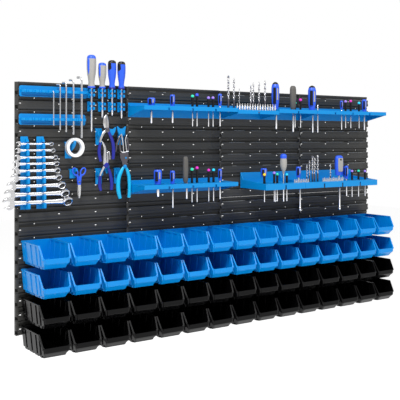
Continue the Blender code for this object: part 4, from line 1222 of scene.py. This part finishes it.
# %% Single handles
BIG_X, BOX_X = 975.1, 1271.3
FLAT_TOOLS = ((1058.0, DECK_D, TOP_DECK + 1, 803.0, 13.0, 8.0),
              (571.5, DECK_D, LOWER_DECK + 1, 544.0, 9.5, 7.0))
BIG_GRIP = ((3.2, 0.0), (4.2, 8.0), (8.5, 14.0), (12.2, 28.0), (13.0, 40.0), (12.0, 52.0), (11.4, 56.0))
BIG_CAP = ((11.4, 0.0), (12.2, 4.0), (12.0, 10.0), (9.0, 15.0), (2.0, 17.0))
BOX_FACE = ((-11.0, 476.0), (11.0, 476.0), (13.0, 500.0), (12.0, 529.0), (-12.0, 529.0), (-13.0, 500.0))
make("shelf_taupe_grips", join(*[flat_bar(*tool) for tool in FLAT_TOOLS]), grip_taupe, crisp=60.0)
make("shelf_grey_grip", turned(BIG_GRIP, BIG_X, OUT_D, 476.0, 24), grip_grey, slot="handle_grey", crisp=60.0)
make("shelf_blue_cap", turned(BIG_CAP, BIG_X, OUT_D, 532.2, 24), grip_blue, crisp=60.0)
make("shelf_box_grip", flat_bar(BOX_X, 120.0, OUT_DECK + 20.0, 539.0, 19.0, 9.0, 0.9), grip_blue,
     slot="handle_blue", crisp=60.0)
make("shelf_box_face", plate([(BOX_X + x, z) for x, z in BOX_FACE], 127.0, 130.2), grip_grey, bevel=1.2)
# The hanging hole is not cut: a black disc on the face is painted shade where the opening shows dark.
make("shelf_box_hole_shade", plate(circle(BOX_X, 523.0, 4.0, 14), 129.0, 130.9), grip_black)
print("single handles", len(FLAT_TOOLS) + 2)

# %% [markdown]
# Precision drivers have a slim black handle and a turning cap whose colour tells the tip. The caps are
# half circles turned into beads, grouped by colour so that each colour is one object and one finish. The
# last object holds every shaft that hangs below the decks.

# %% Precision drivers and shafts
# Each shaft: place, distance from the wall, foot, top and radius.
shafts = [(436.0, DECK_D, 655.0, TOP_DECK + 4, 3.2), (519.0, DECK_D, 657.0, TOP_DECK + 4, 3.2),
          (975.0, DECK_D, 640.0, TOP_DECK + 4, 3.6), (1058.0, DECK_D, 630.0, TOP_DECK + 4, 3.6),
          (1158.0, DECK_D, 628.0, TOP_DECK, 3.4), (1177.0, 100.0, 628.0, 735.0, 2.4),
          (1313.2, DECK_D, 640.0, TOP_DECK + 9, 2.4), (1442.0, DECK_D, 640.0, TOP_DECK + 2, 3.0),
          (717.0, DECK_D, 648.0, TOP_DECK + 9, 2.6), (717.0, DECK_D, 392.0, LOWER_DECK + 8, 2.6),
          (461.0, DECK_D, 411.0, LOWER_DECK + 4, 5.2), (520.0, DECK_D, 371.0, LOWER_DECK + 4, 2.6),
          (576.0, DECK_D, 399.0, LOWER_DECK + 4, 3.4), (941.1, 128.0, 374.2, 446.0, 1.8),
          (BIG_X, OUT_D, 374.4, 478.0, 2.8), (1056.0, OUT_D, 339.1, OUT_DECK, 3.0),
          (1056.0, OUT_D, 337.0, 350.0, 4.4), (1060.3, 120.0, OUT_DECK - 4, OUT_DECK + 20, 4.0),
          (892.7, 120.0, OUT_DECK - 4, OUT_DECK + 26, 3.0), (1260.9, OUT_D, 332.1, OUT_DECK, 3.2),
          (1260.9, OUT_D, 330.0, 345.0, 4.8), (BOX_X, 120.0, OUT_DECK - 4, OUT_DECK + 24, 4.0),
          (1299.0, OUT_D, 380.8, OUT_DECK + 8, 2.4), (1312.0, 112.0, OUT_DECK - 4, OUT_DECK + 14, 3.0)]
# Each colour's caps: place, distance from the wall, height and radius.
CAPS = (("mint", (0.03, 0.72, 0.42), ((1068.0, DECK_D, 738.5, 6.0), (600.3, DECK_D, 749.2, 5.8),
                                      (598.0, DECK_D, 498.8, 5.8), (944.9, OUT_D, 474.7, 5.6),
                                      (1365.6, OUT_D, 476.7, 5.4))),
        ("magenta", (0.75, 0.03, 0.50), ((1095.8, DECK_D, 751.0, 6.2), (619.0, DECK_D, 503.4, 5.8),
                                         (668.4, DECK_D, 494.4, 5.6), (1364.5, DECK_D, 753.6, 5.6))),
        ("violet", (0.36, 0.22, 0.80), ((1335.6, DECK_D, 751.7, 5.6), (667.5, DECK_D, 745.5, 5.6),
                                        (686.8, DECK_D, 746.1, 5.6), (930.7, OUT_D, 479.8, 5.6),
                                        (1329.3, OUT_D, 476.8, 5.4), (1402.4, OUT_D, 474.9, 5.4))),
        ("blue", (0.05, 0.10, 0.85), ((619.0, DECK_D, 754.3, 5.8),)),
        ("cyan", (0.02, 0.62, 0.85), ((1411.7, DECK_D, 747.3, 6.0), (688.9, DECK_D, 494.9, 5.6),
                                      (982.4, 143.0, 473.0, 5.2))),
        ("yellow", (0.90, 0.62, 0.03), ((884.7, OUT_D, 474.5, 5.8),)))
UPPER_SHELVES_Z, OUT_SHELVES_X = 600.0, 860.0


def bead(x, d, z, radius):
    """A round cap: a half circle turned about the upright."""
    a = np.radians(np.linspace(-90.0, 90.0, 9))
    return turned(np.column_stack((radius * np.cos(a), radius * np.sin(a))), x, d, z, 14)


def short_handle(x, d, deck, z):
    """The slim handle of a precision driver, from the deck up to just under its cap."""
    tall = z - deck
    profile = [(2.4, 0.0), (4.0, 1.0), (4.4, 4.0), (4.0, 0.5 * tall), (4.6, tall - 6.0), (4.0, tall - 1.5)]
    return turned(profile, x, d, deck + 0.4, 12)


def deck_under(x, z):
    """The deck that a precision driver stands in, from where its cap is."""
    if z > UPPER_SHELVES_Z:
        return TOP_DECK
    return OUT_DECK if x > OUT_SHELVES_X else LOWER_DECK


handles = []
for name, colour, places in CAPS:
    finish = plastic(f"cap_{name}", colour, 0.3, 900.0, 0.1, 0.05)
    make(f"driver_caps_{name}", join(*[bead(*place) for place in places]), finish, crisp=60.0)
    for x, d, z, _ in places:
        deck = deck_under(x, z)
        handles.append(short_handle(x, d, deck, z))
        shafts.append((x, d, deck - 66.0, deck + 3.0, 1.9))
make("driver_short_handles", join(*handles), grip_black, crisp=60.0)
make("shelf_shafts", join(*[rod(*shaft) for shaft in shafts]), chrome, slot="tool_chrome", crisp=50.0)
print("precision drivers", len(handles), "shafts", len(shafts))

# %% [markdown]
# The studio: a pale floor well below the wall, a white surround, one large soft light from the upper left
# and a weaker one from the right. A printed backdrop would do too, but a surround that is bright to the
# camera and half as bright to the surfaces keeps the colours deep against pure white. The camera looks at
# the wall from its left, level, with the frame shifted down instead of the camera tilted, so upright edges
# stay upright.

# %% Floor and surround
FLOOR_HALF, FLOOR_Z = 14.0, -1.6
SURFACE_GLOW, CAMERA_GLOW = 0.5, 1.0
corners = rectangle(-FLOOR_HALF, -FLOOR_HALF, FLOOR_HALF, FLOOR_HALF)
floor_mesh = bpy.data.meshes.new("floor")
floor_mesh.from_pydata([(x, y, FLOOR_Z) for x, y in corners], [], [(0, 1, 2, 3)])
floor = bpy.data.objects.new("floor", floor_mesh)
bpy.context.scene.collection.objects.link(floor)
floor_white = plastic("floor_white", (0.93, 0.93, 0.93), 0.8, 50.0, 0.0, 0.0)
floor_shader = floor_white.node_tree.nodes["Principled BSDF"]
floor_shader.inputs["Emission Color"].default_value = (1, 1, 1, 1)
floor_shader.inputs["Emission Strength"].default_value = SURFACE_GLOW
floor_mesh.materials.append(floor_white)
world = bpy.data.worlds.new("surround")
world.use_nodes = True
sky = world.node_tree
sky.nodes["Background"].inputs["Color"].default_value = (1.0, 1.0, 1.0, 1.0)
rays = add_node(sky, "LightPath").outputs["Is Camera Ray"]
glow = add_node(sky, "MapRange", {"Value": rays, "To Min": SURFACE_GLOW, "To Max": CAMERA_GLOW})
sky.links.new(glow.outputs[0], sky.nodes["Background"].inputs["Strength"])
bpy.context.scene.world = world
bpy.context.scene.view_settings.view_transform = "Standard"
print("floor at", FLOOR_Z, "m")

# %% [markdown]
# Sun lamps would draw hard edges, so both lights are squares with a soft edge to their shadows. The camera
# stands about two and a half metres off and sees the wall at a slant.

# %% Lights and camera


def soft_light(name, place, aim, size, power):
    """A square area light turned so that its face looks at the aim point."""
    lamp = bpy.data.lights.new(name, "AREA")
    lamp.size = size
    lamp.energy = power
    lamp_object = bpy.data.objects.new(name, lamp)
    lamp_object.location = place
    direction = np.asarray(aim) - np.asarray(place)
    yaw = math.atan2(direction[0], -direction[1])
    pitch = math.atan2(-direction[2], math.hypot(direction[0], direction[1]))
    lamp_object.rotation_euler = (math.pi / 2.0 - pitch, 0.0, yaw + math.pi)
    bpy.context.scene.collection.objects.link(lamp_object)


soft_light("key", (-2.0, -1.9, 3.2), (-0.3, 0.0, 0.0), 1.2, 150.0)
soft_light("fill", (1.6, -2.6, 2.8), (0.3, 0.0, -0.1), 2.0, 45.0)
LENS_MM, SENSOR_MM, SHIFT_DOWN, CAMERA_TURN = 68.886, 36.0, 0.1526, 34.823
lens = bpy.data.cameras.new("camera")
lens.sensor_width = SENSOR_MM
lens.lens = LENS_MM
lens.shift_y = -SHIFT_DOWN
camera = bpy.data.objects.new("camera", lens)
camera.location = (-1.6502, -2.2572, 0.1916)
camera.rotation_euler = (math.pi / 2.0, 0.0, math.radians(-CAMERA_TURN))
bpy.context.scene.collection.objects.link(camera)
bpy.context.scene.camera = camera
print("camera lens", round(lens.lens, 1), "mm")
